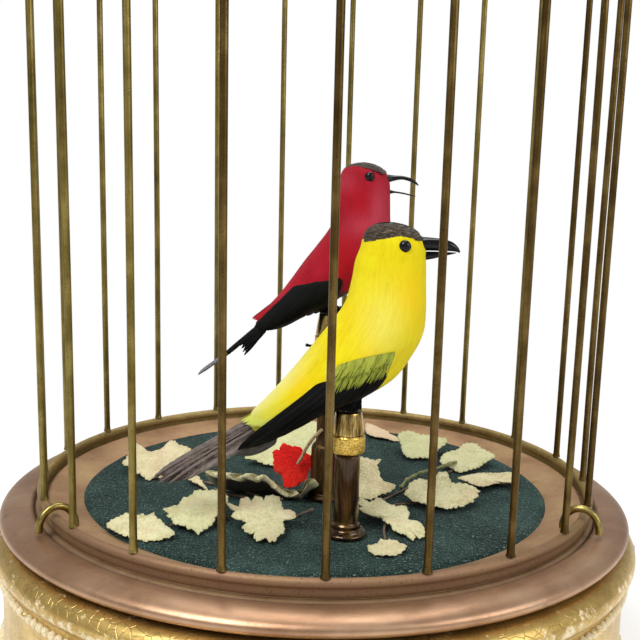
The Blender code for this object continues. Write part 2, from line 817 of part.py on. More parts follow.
def cam_arbor(pinion_low, pinion_high):
    """Carries the pinion that the barrel drives, the next wheel and the wavy cam under the rods."""
    at = cam_centre()
    made = arbor("cam_arbor", at)
    pinion_phase = mesh_phase(CAM_PINION_TEETH, BARREL_FROM_CAM_DEG)
    low, high = pinion_low - PINION_OVERHANG, pinion_high + PINION_OVERHANG
    join(made, gear("cam_pinion", CAM_PINION_TEETH, at, pinion_phase, low, high, steel()))
    wheel_low = pinion_high + WHEEL_SPACING
    wheel_high = wheel_low + WHEEL_THICK
    finish = bright_brass()
    wheel = gear("cam_wheel", CAM_WHEEL_TEETH, at, SECOND_FROM_CAM_DEG, wheel_low, wheel_high, finish)
    join(made, wheel)
    cam_low = wheel_high + 0.5 * WHEEL_THICK
    rim = cam_rim_top()
    work = bmesh.new()
    steps = 6 * CAM_LOBES
    inner_r, outer_r = rod_circle_r() - CAM_RIM_W / 2, rod_circle_r() + CAM_RIM_W / 2
    rows = []
    for index in range(steps):
        turn = 2 * math.pi * index / steps
        wave = rim - CAM_WAVE * (1 - math.cos(CAM_LOBES * turn)) / 2
        row = []
        for radius, height in ((outer_r, cam_low), (outer_r, wave), (inner_r, wave), (inner_r, cam_low)):
            row.append(work.verts.new((*polar(radius, math.degrees(turn), at), height)))
        rows.append(row)
    for index, row in enumerate(rows):
        after = rows[(index + 1) % steps]
        for side in range(4):
            work.faces.new((row[side], row[(side + 1) % 4], after[(side + 1) % 4], after[side]))
    crown = from_bmesh("face_cam_rim", work, bright_brass())
    web_low = cam_low - 0.4 * CAM_WEB_THICK
    web = rod_shape("cam_web", rod_circle_r(), web_low, web_low + CAM_WEB_THICK, at, bright_brass(), 24)
    join(made, as_mesh(web))
    join(made, crown)
    return wheel_low


def cam_rim_top():
    return TOP_PLATE_Z - CAM_CLEARANCE


def second_arbor(wheel_low):
    at = second_centre()
    made = arbor("second_wheel", at)
    phase = mesh_phase(SECOND_PINION_TEETH, SECOND_FROM_CAM_DEG + 180)
    pinion_low, pinion_high = wheel_low - PINION_OVERHANG, wheel_low + WHEEL_THICK + PINION_OVERHANG
    join(made, gear("second_pinion", SECOND_PINION_TEETH, at, phase, pinion_low, pinion_high, steel()))
    low, high = second_wheel_low(), second_wheel_low() + WHEEL_THICK
    join(made, gear("second_plate", SECOND_WHEEL_TEETH, at, FLY_FROM_SECOND_DEG, low, high, bright_brass()))


def second_wheel_low():
    return BOTTOM_Z + BOTTOM_THICK + SECOND_WHEEL_LIFT


def fly():
    """The air brake: a pinion and two thin blades on one arbor."""
    at = fly_centre()
    made = arbor("fly_governor", at)
    low = second_wheel_low() - PINION_OVERHANG
    high = second_wheel_low() + WHEEL_THICK + PINION_OVERHANG
    phase = mesh_phase(FLY_PINION_TEETH, FLY_FROM_SECOND_DEG + 180)
    join(made, gear("fly_pinion", FLY_PINION_TEETH, at, phase, low, high, steel()))
    blade_low = high + 0.5 * FLY_BLADE_H
    corner = (at[0] - FLY_BLADE_R, at[1] - FLY_BLADE_THICK / 2, blade_low)
    opposite = (at[0] + FLY_BLADE_R, at[1] + FLY_BLADE_THICK / 2, blade_low + FLY_BLADE_H)
    join(made, box("fly_blades", corner, opposite, bright_brass()))


def arbor_places():
    return (cam_centre(), second_centre(), fly_centre())


def bottom_plate():
    """Closes the base from below and carries the movement's pillars."""
    edge = DRUM_WAIST_R - DRUM_WALL + BOTTOM_REBATE - SEAT_GAP
    outlines = [circle(edge, count=BASE_STEPS)]
    outlines.append(circle(around(2 * KEY_SHANK_R, 24), barrel_centre(), 24))
    for place in arbor_places():
        outlines.append(circle(around(PIVOT_R, TINY_STEPS), place, TINY_STEPS))
    plate = flat_plate("bottom_plate", outlines, BOTTOM_Z, BOTTOM_Z + BOTTOM_THICK, bright_brass())
    low = BOTTOM_Z + 0.5 * BOTTOM_THICK
    studs = []
    for index, at in enumerate(PILLAR_PLACES):
        studs.append((f"pillar_{index}", PILLAR_R, TOP_PLATE_Z - SEAT_GAP, at))
    studs.append(("lever_stud", PIVOT_R, LEVER_Z + 1.4 * LEVER_THICK, LEVER_PIVOT))
    studs.append(("lever_stud_foot", PILLAR_R, LEVER_Z - SEAT_GAP, LEVER_PIVOT))
    for name, radius, high, at in studs:
        join(plate, as_mesh(rod_shape(name, radius, low, high, at, bright_brass(), TINY_STEPS)))


def top_plate():
    """The movement's upper plate, with the arbors' pivot holes and the push rods' guide holes."""
    outlines = [TOP_PLATE_CORNERS]
    for place in (barrel_centre(), *arbor_places()):
        outlines.append(circle(around(PIVOT_R, TINY_STEPS), place, TINY_STEPS))
    for place in post_places():
        outlines.append(circle(around(ROD_R, 12), place, 12))
    high = TOP_PLATE_Z + TOP_PLATE_THICK
    flat_plate("movement_top_plate", outlines, TOP_PLATE_Z, high, bright_brass())


def chest_top():
    return BOTTOM_Z + BOTTOM_THICK + SEAT_GAP + CHEST_SIZE[2]


def wind_chest():
    """The wind chest with the whistle tube on its side. The tube is open where the piston slides in."""
    low = BOTTOM_Z + BOTTOM_THICK + SEAT_GAP
    x, y = CHEST_CORNER
    opposite = (x + CHEST_SIZE[0], y + CHEST_SIZE[1], chest_top())
    chest = box("wind_chest_and_whistle", (x, y, low), opposite, bright_brass())
    middle = whistle_axis()
    root, end, past = x + 1.0 * MM, x - WHISTLE_L, x - 1.1 * WHISTLE_L
    tube = cylinder("whistle_tube", WHISTLE_R, (root, *middle), (end, *middle), bright_brass())
    start = (x - WHISTLE_STOP, *middle)
    bore = cylinder("whistle_bore", WHISTLE_BORE_R, start, (past, *middle), bright_brass(), helper=True)
    half = 0.5 * WHISTLE_R
    mouth = box(
        "whistle_mouth",
        (x - WHISTLE_MOUTH[1], middle[0] - half, middle[1]),
        (x - WHISTLE_MOUTH[0], middle[0] + half, middle[1] + 2 * WHISTLE_R),
        bright_brass(),
        helper=True,
    )
    join(chest, tube)
    cut(chest, bore)
    cut(chest, mouth)


def whistle_axis():
    return (CHEST_CORNER[1] + CHEST_SIZE[1] - WHISTLE_R - 1.0 * MM,
            BOTTOM_Z + BOTTOM_THICK + SEAT_GAP + WHISTLE_R)


def whistle_piston():
    """The piston that slides in the whistle to bend the note, with its thin pull wire."""
    middle = whistle_axis()
    mouth_x = CHEST_CORNER[0] - WHISTLE_L
    head_r = WHISTLE_BORE_R * math.cos(math.pi / 24) - RUNNING_GAP
    low, high = mouth_x + PISTON_HEAD[0], mouth_x + PISTON_HEAD[1]
    piston = cylinder("whistle_piston", head_r, (high, *middle), (low, *middle), steel())
    ends = ((low + 1.0 * MM, *middle), (mouth_x - PISTON_WIRE_OUT, *middle))
    join(piston, cylinder("piston_wire", PISTON_WIRE_R, *ends, steel(), 12))
    put_origin(piston, (low, *middle))


def bellows_board():
    """The moving board of the bellows, hinged along its far edge."""
    x, y = CHEST_CORNER
    inset = 1.0 * MM
    low = chest_top() + SEAT_GAP
    far = y + CHEST_SIZE[1] - 2 * WHISTLE_R - 1.1 * MM
    board = box(
        "bellows_board",
        (x + inset, y + inset, low),
        (x + CHEST_SIZE[0] - inset, far, low + BOARD_THICK),
        material("bellows_board", (0.42, 0.26, 0.14), 0.7),
    )
    put_origin(board, (x + CHEST_SIZE[0] / 2, far, low))


def lever_place():
    """The lever's own frame, with X from its stud to its knob, and the distance between the two."""
    end = polar(LEVER_REACH_R, LEVER_END_DEG)
    reach = (end[0] - LEVER_PIVOT[0], end[1] - LEVER_PIVOT[1])
    turn = Matrix.Rotation(math.atan2(reach[1], reach[0]), 4, "Z")
    return Matrix.Translation((*LEVER_PIVOT, 0)) @ turn, math.hypot(*reach)


def stop_lever():
    """The start and stop lever: a strip on its stud, with a knob outside the drum."""
    place, length = lever_place()
    half = LEVER_HALF_W
    outline = [(length, -0.6 * half), (length, 0.6 * half), (0.4 * half, half)]
    outline += [polar(1.3 * half, degrees) for degrees in (110, 145, 180, 215, 250)]
    outline += [(0.4 * half, -half)]
    hole = circle(around(PIVOT_R, TINY_STEPS), (0, 0), TINY_STEPS)
    strip = flat_plate("stop_lever", [outline, hole], LEVER_Z, LEVER_Z + LEVER_THICK, steel())
    strip.matrix_world = place @ strip.matrix_world
    end = Matrix.Translation(place @ Vector((length, 0, LEVER_Z + LEVER_THICK / 2)))
    ball = bmesh.new()
    bmesh.ops.create_uvsphere(ball, u_segments=8, v_segments=6, radius=KNOB_R, matrix=end)
    join(strip, from_bmesh("lever_knob", ball, steel()))


# Birds


class Bird:
    """Where one bird sits: its scale, the place of its crown, its plane, its post and its colours."""

    def __init__(
        self, name, scale, crown, plane_y, post_x, beak_open_deg, feathers, wing_colour, tail_colour
    ):
        self.name = name
        self.scale = scale
        self.crown = crown
        self.plane_y = plane_y
        self.post_x = post_x
        self.beak_open = math.radians(beak_open_deg)
        self.feathers = feathers
        self.wing_colour = wing_colour
        self.tail_colour = tail_colour

    def place(self, x, z):
        """A point of the bird's outline, in mm, as metres in the object's frame."""
        return (
            self.crown[0] + (x - HEAD_TOP[0]) * MM * self.scale,
            RAIL_Z + self.crown[1] + (z - HEAD_TOP[1]) * MM * self.scale,
        )

    def cuff_low(self):
        return self.place(0, 24.9)[1]

    def ferrule_top(self):
        return self.cuff_low() - SEAT_GAP

    def tube_top(self):
        return self.ferrule_top() - FERRULE_TAPER_H - FERRULE_BAND_H - 2 * SEAT_GAP


BIRDS = (
    Bird("yellow", 1.0, (0.0145, 0.0670), -0.0359, 0.0071, 0.0,
         (0.80, 0.66, 0.02), (0.03, 0.03, 0.03), (0.20, 0.17, 0.16)),
    Bird("red", 0.86, (0.0100, 0.0795), -0.0104, 0.0029, 14.0,
         (0.40, 0.02, 0.04), (0.02, 0.02, 0.02), (0.03, 0.03, 0.03)),
)


def slice_at(slices, where):
    """The breast point, back point and half width at a place between slices, smoothly interpolated."""
    rows = np.array([(*a, *b, w) for a, b, w in slices])
    index = min(int(where), len(rows) - 2)
    share = where - index
    before = rows[max(index - 1, 0)]
    first, second = rows[index], rows[index + 1]
    after = rows[min(index + 2, len(rows) - 1)]
    return 0.5 * (
        2 * first
        + (second - before) * share
        + (2 * before - 5 * first + 4 * second - after) * share**2
        + (3 * first - before - 3 * second + after) * share**3
    )


def ring_point(bird, row, angle, lift=0.0):
    """A point round one slice: 0 is the breast, half a turn is the back. Lift is metres outward."""
    front = np.array(bird.place(row[0], row[1]))
    back = np.array(bird.place(row[2], row[3]))
    middle = (front + back) / 2
    reach = (front - back) / 2
    half = row[4] * MM * bird.scale
    long = max(np.hypot(*reach), 1e-6)
    flat = middle + reach * (1 + lift / long) * math.cos(angle)
    return (flat[0], bird.plane_y + (half + lift) * math.sin(angle), flat[1])


def lofted(name, bird, slices, stations, sides, finish, turn=None):
    """A closed body through elliptical slices, one ring of points at each station."""
    work = bmesh.new()
    rings = []
    for where in stations:
        row = slice_at(slices, where)
        ring = []
        for side in range(sides):
            point = Vector(ring_point(bird, row, 2 * math.pi * side / sides))
            ring.append(work.verts.new(turn @ point if turn else point))
        rings.append(ring)
    for first, second in zip(rings, rings[1:]):
        for side in range(sides):
            after = (side + 1) % sides
            work.faces.new((first[side], first[after], second[after], second[side]))
    work.faces.new(rings[0])
    work.faces.new(rings[-1])
    return from_bmesh(name, work, finish)


def hinge_middle(bird, place):
    x, z = bird.place(*place)
    return Vector((x, bird.plane_y, z))


def hinge_line(bird, place, half_width):
    x, z = bird.place(*place)
    return (x, bird.plane_y - half_width, z), (x, bird.plane_y + half_width, z)


def bird_body(bird):
    """Head, body, upper beak and black cuff in one, with a socket for each hinge and the rod's bore."""
    finish = material(bird.name + "_feathers", bird.feathers, 0.8)
    stations = (0, 0.6, 1.1, 1.7, 2.4, 3.1, 4, 5, 6, 6.8, 7.6, 8.4, 9.2, 10, 11, 12, BODY_END)
    body = lofted(bird.name + "_body", bird, BODY_SLICES, stations, BODY_SIDES, finish)
    join(body, lofted(bird.name + "_upper_beak", bird, UPPER_BEAK, (0, 1, 2, 3, 4), 8, finish))
    low = bird.cuff_low()
    post = (bird.post_x, bird.plane_y)
    join(body, as_mesh(rod_shape(bird.name + "_cuff", CUFF_R, low, low + CUFF_H, post, finish, TINY_STEPS)))
    top = rod_top(bird) + ROD_TRAVEL + 2 * SEAT_GAP
    bore_low = low - 0.5 * CUFF_H
    name = bird.name + "_rod_bore"
    bore = rod_shape(name, ROD_BORE_R, bore_low, top, post, finish, TINY_STEPS, helper=True)
    cut(body, as_mesh(bore))
    beak_line = hinge_line(bird, BEAK_HINGE, bird.scale * BEAK_KNUCKLE_W / 2 + SEAT_GAP)
    radius = bird.scale * BEAK_KNUCKLE_R + 1.3 * SEAT_GAP
    cut(body, cylinder(bird.name + "_beak_socket", radius, *beak_line, finish, 16, helper=True))
    tail_line = hinge_line(bird, TAIL_HINGE, 8 * MM)
    radius = bird.scale * TAIL_KNUCKLE_R + 1.3 * SEAT_GAP
    cut(body, cylinder(bird.name + "_tail_socket", radius, *tail_line, finish, 16, helper=True))
    put_origin(body, (*post, low))


def bird_beak(bird):
    """The lower half of the beak, with the knuckle that it turns on."""
    finish = material("beak_horn", (0.015, 0.013, 0.012), 0.2)
    hinge = hinge_middle(bird, BEAK_HINGE)
    turn = Matrix.Translation(hinge) @ Matrix.Rotation(bird.beak_open, 4, "Y") @ Matrix.Translation(-hinge)
    name = bird.name + "_beak_lower"
    line = hinge_line(bird, BEAK_HINGE, bird.scale * BEAK_KNUCKLE_W / 2)
    knuckle = cylinder(name, bird.scale * BEAK_KNUCKLE_R, *line, finish, 16)
    join(knuckle, lofted(name + "_blade", bird, LOWER_BEAK, (0, 1, 2, 3), 8, finish, turn))
    put_origin(knuckle, hinge)


def bird_tail(bird):
    finish = material(bird.name + "_tail_feathers", bird.tail_colour, 0.7)
    name = bird.name + "_tail"
    line = hinge_line(bird, TAIL_HINGE, bird.scale * TAIL_KNUCKLE_W / 2)
    knuckle = cylinder(name, bird.scale * TAIL_KNUCKLE_R, *line, finish, 16)
    join(knuckle, lofted(name + "_feathers", bird, TAIL_SLICES, (0, 1, 2, 3, 4), 10, finish))
    put_origin(knuckle, hinge_middle(bird, TAIL_HINGE))


def bird_wing(bird, side, name):
    """A folded wing: a patch of the flank, raised off it and closed to a pad that tapers to its tip."""
    finish = material(bird.name + "_wing_feathers", bird.wing_colour, 0.75)
    work = bmesh.new()
    across = 5
    sheets = []
    stations = np.linspace(*WING_STATIONS, 9)
    for lift in (WING_GAP, WING_GAP + WING_THICK):
        sheet = []
        for number, where in enumerate(stations):
            row = slice_at(BODY_SLICES, where)
            along = number / (len(stations) - 1)
            low = math.radians(WING_EDGES_DEG[0] + 30 * max(0, 1 - 4 * along) + 22 * along**3)
            high = math.radians(WING_EDGES_DEG[1] + 8 * math.sin(math.pi * along) - 12 * along**3)
            line = []
            for step in range(across):
                angle = low + (high - low) * step / (across - 1)
                line.append(work.verts.new(ring_point(bird, row, side * angle, lift)))
            sheet.append(line)
        sheets.append(sheet)
    inner, outer = sheets
    last = len(stations) - 1
    for i in range(last):
        for j in range(across - 1):
            for sheet in sheets:
                work.faces.new((sheet[i][j], sheet[i][j + 1], sheet[i + 1][j + 1], sheet[i + 1][j]))
        for j in (0, across - 1):
            work.faces.new((inner[i][j], inner[i + 1][j], outer[i + 1][j], outer[i][j]))
    for i in (0, last):
        for j in range(across - 1):
            work.faces.new((inner[i][j], outer[i][j], outer[i][j + 1], inner[i][j + 1]))
    wing = from_bmesh(name, work, finish)
    put_origin(wing, (bird.post_x, bird.plane_y, bird.cuff_low()))


def rod_top(bird):
    return bird.cuff_low() + 0.8 * CUFF_H


def rod_low(bird):
    """The yellow bird's rod rests at the bottom of its travel, the red one's at the top."""
    clearance = SEAT_GAP if bird.beak_open == 0 else SEAT_GAP + ROD_TRAVEL
    return cam_rim_top() + clearance


def bird_rod(bird):
    at = (bird.post_x, bird.plane_y)
    rod_shape(bird.name + "_push_rod", ROD_R, rod_low(bird), rod_top(bird), at, steel(), 12)


def bird_ferrule(bird):
    """The swivelling ferrule under the bird: a taper, an engraved band and a spigot inside the post."""
    top = bird.ferrule_top()
    band_top = top - FERRULE_TAPER_H
    band_low = band_top - FERRULE_BAND_H
    profile = (
        (FERRULE_TOP_R - FERRULE_EDGE, top),
        (FERRULE_TOP_R, top - FERRULE_EDGE),
        (FERRULE_SKIRT_R, band_top + FERRULE_EDGE),
        (FERRULE_BAND_R, band_top),
        (FERRULE_BAND_R, band_low + FERRULE_EDGE),
        (FERRULE_BAND_R - FERRULE_EDGE, band_low),
        (SPIGOT_R, band_low),
        (SPIGOT_R, band_low - SPIGOT_L),
        (ROD_BORE_R, band_low - SPIGOT_L),
        (ROD_BORE_R, top),
    )
    at = (bird.post_x, bird.plane_y, 0)
    turned(bird.name + "_ferrule", profile, bright_brass(), SMALL_STEPS, at, closed=True)


def bird_post(bird):
    """The tube that carries the bird, with a stepped flange on the felt and a shank through the pan."""
    top = bird.tube_top()
    felt = felt_top() + SEAT_GAP
    bore = around(SPIGOT_R, SMALL_STEPS)
    bore_low = top - SPIGOT_L - 4 * SEAT_GAP
    stepped = [
        (TUBE_R, top),
        (TUBE_R, felt + FLANGE_H),
    ]
    if bird.name == "red":
        sleeve_r = FERRULE_BAND_R
        sleeve_top = felt + SLEEVE_H
        stepped = [
            (TUBE_R, top),
            (TUBE_R, sleeve_top),
            (sleeve_r - 2 * FERRULE_EDGE, sleeve_top - FERRULE_EDGE),
            (sleeve_r, sleeve_top - 5 * FERRULE_EDGE),
            (sleeve_r, felt + FLANGE_H),
        ]
    step_r = max(FLANGE_STEP_R, stepped[-1][0] + 0.1 * MM)
    shank_low = pan_top() - PAN_THICK - SHANK_BELOW_PAN
    profile = stepped + [
        (step_r, felt + 0.87 * FLANGE_H),
        (step_r, felt + 0.55 * FLANGE_H),
        (FLANGE_R - 0.5 * MM, felt + 0.45 * FLANGE_H),
        (FLANGE_R, felt + 0.25 * FLANGE_H),
        (FLANGE_R, felt),
        (SPIGOT_R, felt),
        (SPIGOT_R, shank_low),
        (ROD_BORE_R, shank_low),
        (ROD_BORE_R, bore_low),
        (bore, bore_low),
        (bore, top),
    ]
    at = (bird.post_x, bird.plane_y, 0)
    turned(bird.name + "_post", profile, dark_brass(), SMALL_STEPS, at, closed=True)


def birds():
    for bird in BIRDS:
        bird_post(bird)
        bird_ferrule(bird)
        bird_rod(bird)
        bird_body(bird)
        bird_beak(bird)
        bird_tail(bird)
        bird_wing(bird, -1, bird.name + "_wing_near")
        bird_wing(bird, 1, bird.name + "_wing_far")


# Foliage


def leaf_outline(length, width, lobes=3):
    """A lobed leaf along +X from its stalk: each side swells in rounded lobes and narrows to the tip."""
    side = []
    steps = 3 * lobes + 1
    for step in range(steps):
        along = step / (steps - 1)
        swell = math.sin(math.pi * min(1, 0.06 + 0.94 * along)) ** 0.7
        lobe = 0.80 + 0.20 * abs(math.sin(math.pi * lobes * along))
        side.append((length * (along - 0.5), max(0.02 * width, 0.5 * width * swell * lobe)))
    return [(x, -y) for x, y in side] + [(x, y) for x, y in reversed(side)]


def leaf_spray(name, root, leaves):
    """Flat lobed leaves, each on a stalk from the spray's root, lying on the felt."""
    low = felt_top() + SEAT_GAP
    knot_r = 1.5 * STEM_R
    ends = [(root[0] * MM + side * 2 * STEM_R, root[1] * MM, low + knot_r) for side in (-1, 1)]
    knot = as_mesh(wire(name, ends, knot_r, leaf_fabric()))
    for index, (centre, heading, length, width, bend) in enumerate(leaves):
        lift = LEAF_LIFT * (index % 3)
        outline = leaf_outline(length * MM, width * MM)
        half = LEAF_THICK / 2
        leaf = flat_plate(f"{name}_leaf_{index}", [outline], -half, half, leaf_fabric())
        droop = Matrix.Rotation(math.radians(LEAF_DROOP_DEG - 2 + index % 3), 4, "Y")
        tilt = droop @ Matrix.Rotation(math.radians(2 - index % 4), 4, "X")
        rise = low + LEAF_THICK / 2 + LEAF_CLEARANCE + lift
        rise += math.sin(math.radians(LEAF_DROOP_DEG)) * length * MM / 2
        turn = Matrix.Rotation(math.radians(heading), 4, "Z")
        leaf.matrix_world = Matrix.Translation((centre[0] * MM, centre[1] * MM, rise)) @ turn @ tilt
        foot = leaf.matrix_world @ Vector((-0.30 * length * MM, 0, 0))
        fan = 2 * math.pi * index / len(leaves)
        start = Vector((root[0] * MM, root[1] * MM, low + 1.2 * STEM_R))
        start += 0.35 * STEM_R * Vector((math.cos(fan), math.sin(fan), 0.6 * math.sin(2 * fan)))
        middle = Vector((bend[0] * MM, bend[1] * MM, max(start.z, foot.z) + 0.3 * MM))
        points = [start, middle, foot]
        join(knot, as_mesh(wire(f"{name}_stalk_{index}", points, STEM_R, leaf_fabric(), resolution=0)))
        join(knot, leaf)


def flower():
    """A ragged cloth bloom on a stem that springs from the red bird's post."""
    red = BIRDS[1]
    x, y = FLOWER_CENTRE
    low = felt_top() + SEAT_GAP
    work = bmesh.new()
    sides, rows = 20, 6
    rings = []
    for row in range(rows + 1):
        lean = math.pi * (row / rows - 0.5) * 0.92
        ring = []
        for side in range(sides):
            angle = 2 * math.pi * side / sides
            ragged = 1 + 0.13 * math.cos(5 * angle + 0.7 * row) + 0.06 * math.cos(9 * angle - row)
            r = FLOWER_R * math.cos(lean) ** 0.7 * (ragged if 0 < row < rows else 1) * 0.88
            height = low + FLOWER_H / 2 + FLOWER_H / 2 * math.sin(lean) / math.sin(math.pi * 0.46)
            ring.append(work.verts.new((x + r * math.cos(angle), y + r * math.sin(angle), height)))
        rings.append(ring)
    for first, second in zip(rings, rings[1:]):
        for side in range(sides):
            after = (side + 1) % sides
            work.faces.new((first[side], first[after], second[after], second[side]))
    work.faces.new(rings[0])
    work.faces.new(rings[-1])
    bloom = from_bmesh("flower", work, material("red_cloth", (0.62, 0.01, 0.01), 0.85))
    sleeve = FERRULE_BAND_R + SEAT_GAP + STEM_R
    end = (red.post_x - sleeve * 0.72, red.plane_y - sleeve * 0.72, low + BLOOM_STEM_RISE)
    start = (x + 1.0 * MM, y - FLOWER_R * 0.5, low + FLOWER_H * 0.6)
    points = [Vector(start).lerp(Vector(end), share) for share in (0, 0.35, 0.7, 1)]
    points[1].y -= 1.3 * MM
    points[2].y -= 1.1 * MM
    join(bloom, as_mesh(wire("flower_stem", points, STEM_R, leaf_fabric())))


def main():
    clear_scene()
    new_collections()
    cage_ring()
    cage_wires()
    hanging_loop(cage_dome())
    staples()
    felt_floor()
    floor_pan()
    base_drum()
    bottom_plate()
    top_plate()
    pinion_low, pinion_high = barrel()
    winding_key()
    second_arbor(cam_arbor(pinion_low, pinion_high))
    fly()
    wind_chest()
    whistle_piston()
    bellows_board()
    stop_lever()
    birds()
    leaf_spray("leaf_spray_left", LEFT_ROOT, LEFT_LEAVES)
    leaf_spray("leaf_spray_right", RIGHT_ROOT, RIGHT_LEAVES)
    flower()


main()
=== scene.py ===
"""The looks of the singing bird automaton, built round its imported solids.

Lengths are metres and +Z is up. A bird's points are in mm of the yellow bird: x and z from the middle of
the wire ring's top, y from the bird's own middle plane. The red bird is the same, smaller and moved.
"""

import math

import bmesh
import bpy
import numpy as np
from mathutils import Matrix, Vector


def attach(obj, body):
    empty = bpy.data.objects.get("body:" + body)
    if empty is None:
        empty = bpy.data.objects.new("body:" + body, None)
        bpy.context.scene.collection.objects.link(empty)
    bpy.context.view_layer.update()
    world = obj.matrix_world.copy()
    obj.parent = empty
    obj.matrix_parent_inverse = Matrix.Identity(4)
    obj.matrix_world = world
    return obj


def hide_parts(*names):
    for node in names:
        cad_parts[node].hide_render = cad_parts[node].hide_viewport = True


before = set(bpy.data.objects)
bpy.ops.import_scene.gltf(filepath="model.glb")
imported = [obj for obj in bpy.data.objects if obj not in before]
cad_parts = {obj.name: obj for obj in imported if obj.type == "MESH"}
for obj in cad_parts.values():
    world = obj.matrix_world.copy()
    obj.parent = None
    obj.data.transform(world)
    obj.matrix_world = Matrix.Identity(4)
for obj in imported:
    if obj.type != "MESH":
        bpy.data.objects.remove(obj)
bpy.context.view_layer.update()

MM = 0.001
RAIL_Z = 0.056
WIRE_COUNT = 21
WIRE_CIRCLE_R = 0.069
WIRE_R = 0.00082
WIRE_LEAN = 0.0113
WIRE_WANDER = 0.00012
FIRST_WIRE_DEG = 203.48
SOLDER_SPREAD = 0.0003
SOLDER_H = 0.0006
RING_HALF_W = 0.0010
SEAT_HALF_W = 0.0013
SHOULDER_H = 0.148
SHOULDER_WIRE_R = 0.0017
DOME_H = 0.054
CROWN_R = 0.0075
CROWN_H = 0.009
EYE_R = 0.0029
EYE_WIRE_R = 0.0009
LOOP_R = 0.0115
LOOP_WIRE_R = 0.0011
LOOP_REST_DEG = 96.0
STAPLE_DEG = {"left": 213.4, "right": 333.4, "back": 93.4}
STAPLE_HALF_W = 0.0042
STAPLE_WIRE_R = 0.00085
FELT_R = 0.0591
FELT_TOP = RAIL_Z - 0.0038
FELT_EDGE_W = 0.0012
RIM_R = 0.0789
RIM_Z = RAIL_Z - 0.0068
RIM_HALF_H = 0.0026
DRUM_TOP = 0.0463
FERRULE_BAND_TOP = 0.0054
FERRULE_BAND_LOW = 0.0094
PIN_R = 0.00032
VINE_R = 0.00041
STALK_R = 0.00028
STEM_R = 0.00042
CAMERA_AT = (0.0002, -0.2587, 0.1376)
CAMERA_DOWN_DEG = 9.22
CAMERA_ROLL_DEG = 1.42
LENS_MM = 57.95
SIDES = (("near", False), ("far", True))

random = np.random.default_rng(7)


# Shader maths


class Value:
    """One output socket. Arithmetic on it adds Math nodes to its tree."""

    def __init__(self, nodes, socket):
        self.nodes = nodes
        self.socket = socket

    def _math(self, operation, *values):
        return self.nodes.node("ShaderNodeMath", {"operation": operation}, dict(enumerate(values)))

    def __add__(self, other):
        return self._math("ADD", self, other)

    def __radd__(self, other):
        return self._math("ADD", other, self)

    def __sub__(self, other):
        return self._math("SUBTRACT", self, other)

    def __rsub__(self, other):
        return self._math("SUBTRACT", other, self)

    def __mul__(self, other):
        return self._math("MULTIPLY", self, other)

    def __rmul__(self, other):
        return self._math("MULTIPLY", other, self)

    def clamp(self):
        return self.nodes.node("ShaderNodeClamp", {}, {"Value": self})

    def above(self, low, high):
        """0 under low, 1 over high, and a smooth rise between them."""
        inputs = {"Value": self, "From Min": low, "From Max": high}
        return self.nodes.node("ShaderNodeMapRange", {"interpolation_type": "SMOOTHSTEP"}, inputs)


class Nodes:
    """A tree of shader nodes and short ways to add to it."""

    def __init__(self, tree):
        self.tree = tree

    def node(self, kind, settings=None, inputs=None, out=0):
        """Any node: its settings first, then the values or links of its sockets."""
        made = self.tree.nodes.new(kind)
        for key, value in (settings or {}).items():
            setattr(made, key, value)
        for key, value in (inputs or {}).items():
            self.link(made.inputs[key], value)
        return Value(self, made.outputs[out])

    def link(self, socket, value):
        if isinstance(value, Value):
            self.tree.links.new(value.socket, socket)
        elif socket.type == "RGBA" and len(value) == 3:
            socket.default_value = (*value, 1.0)
        else:
            socket.default_value = value

    def place(self, scale=(1, 1, 1), at=(0, 0, 0)):
        """Object coordinates, scaled and moved for a pattern."""
        where = self.node("ShaderNodeTexCoord", out="Object")
        if scale == (1, 1, 1) and at == (0, 0, 0):
            return where
        return self.node("ShaderNodeMapping", {}, {"Vector": where, "Location": at, "Scale": scale})

    def attribute(self, name):
        return self.node("ShaderNodeAttribute", {"attribute_name": name}, out="Fac")

    def vector(self, x, y, z):
        return self.node("ShaderNodeCombineXYZ", {}, {0: x, 1: y, 2: z})

    def noise(self, vector, scale, detail=2.0, rough=0.5, distortion=0.0):
        inputs = {"Vector": vector, "Scale": scale, "Detail": detail}
        inputs |= {"Roughness": rough, "Distortion": distortion}
        return self.node("ShaderNodeTexNoise", {}, inputs)

    def cells(self, vector, scale, feature="F1"):
        return self.node("ShaderNodeTexVoronoi", {"feature": feature}, {"Vector": vector, "Scale": scale})

    def mix(self, share, first, second):
        return self.node("ShaderNodeMix", {"data_type": "RGBA"}, {0: share, 6: first, 7: second}, 2)

    def ramp(self, value, *stops):
        """Colours at places from 0 to 1, with even fades between them."""
        made = self.node("ShaderNodeValToRGB", {}, {"Fac": value})
        held = made.socket.node.color_ramp.elements
        held.remove(held[-1])
        for index, (place, colour) in enumerate(stops):
            stop = held.new(place) if index else held[0]
            stop.position = place
            stop.color = (*colour, 1.0)
        return made

    def bump(self, height, distance, strength):
        return self.node("ShaderNodeBump", {}, {"Height": height, "Distance": distance, "Strength": strength})


class Finish(Nodes):
    """A material round one Principled shader."""

    def __init__(self, name, **fixed):
        self.material = bpy.data.materials.new(name)
        self.material.use_nodes = True
        super().__init__(self.material.node_tree)
        self.shader = self.tree.nodes["Principled BSDF"]
        self.use(**fixed)

    def use(self, **sockets):
        for socket, value in sockets.items():
            self.link(self.shader.inputs[socket.replace("_", " ")], value)
        return self.material


# Finishes

DRAWN = {"grain": 500, "streak": (1, 1, 0.08)}
RING = {"metal": 0.8, "front": (0.27, 0.155, 0.095)}
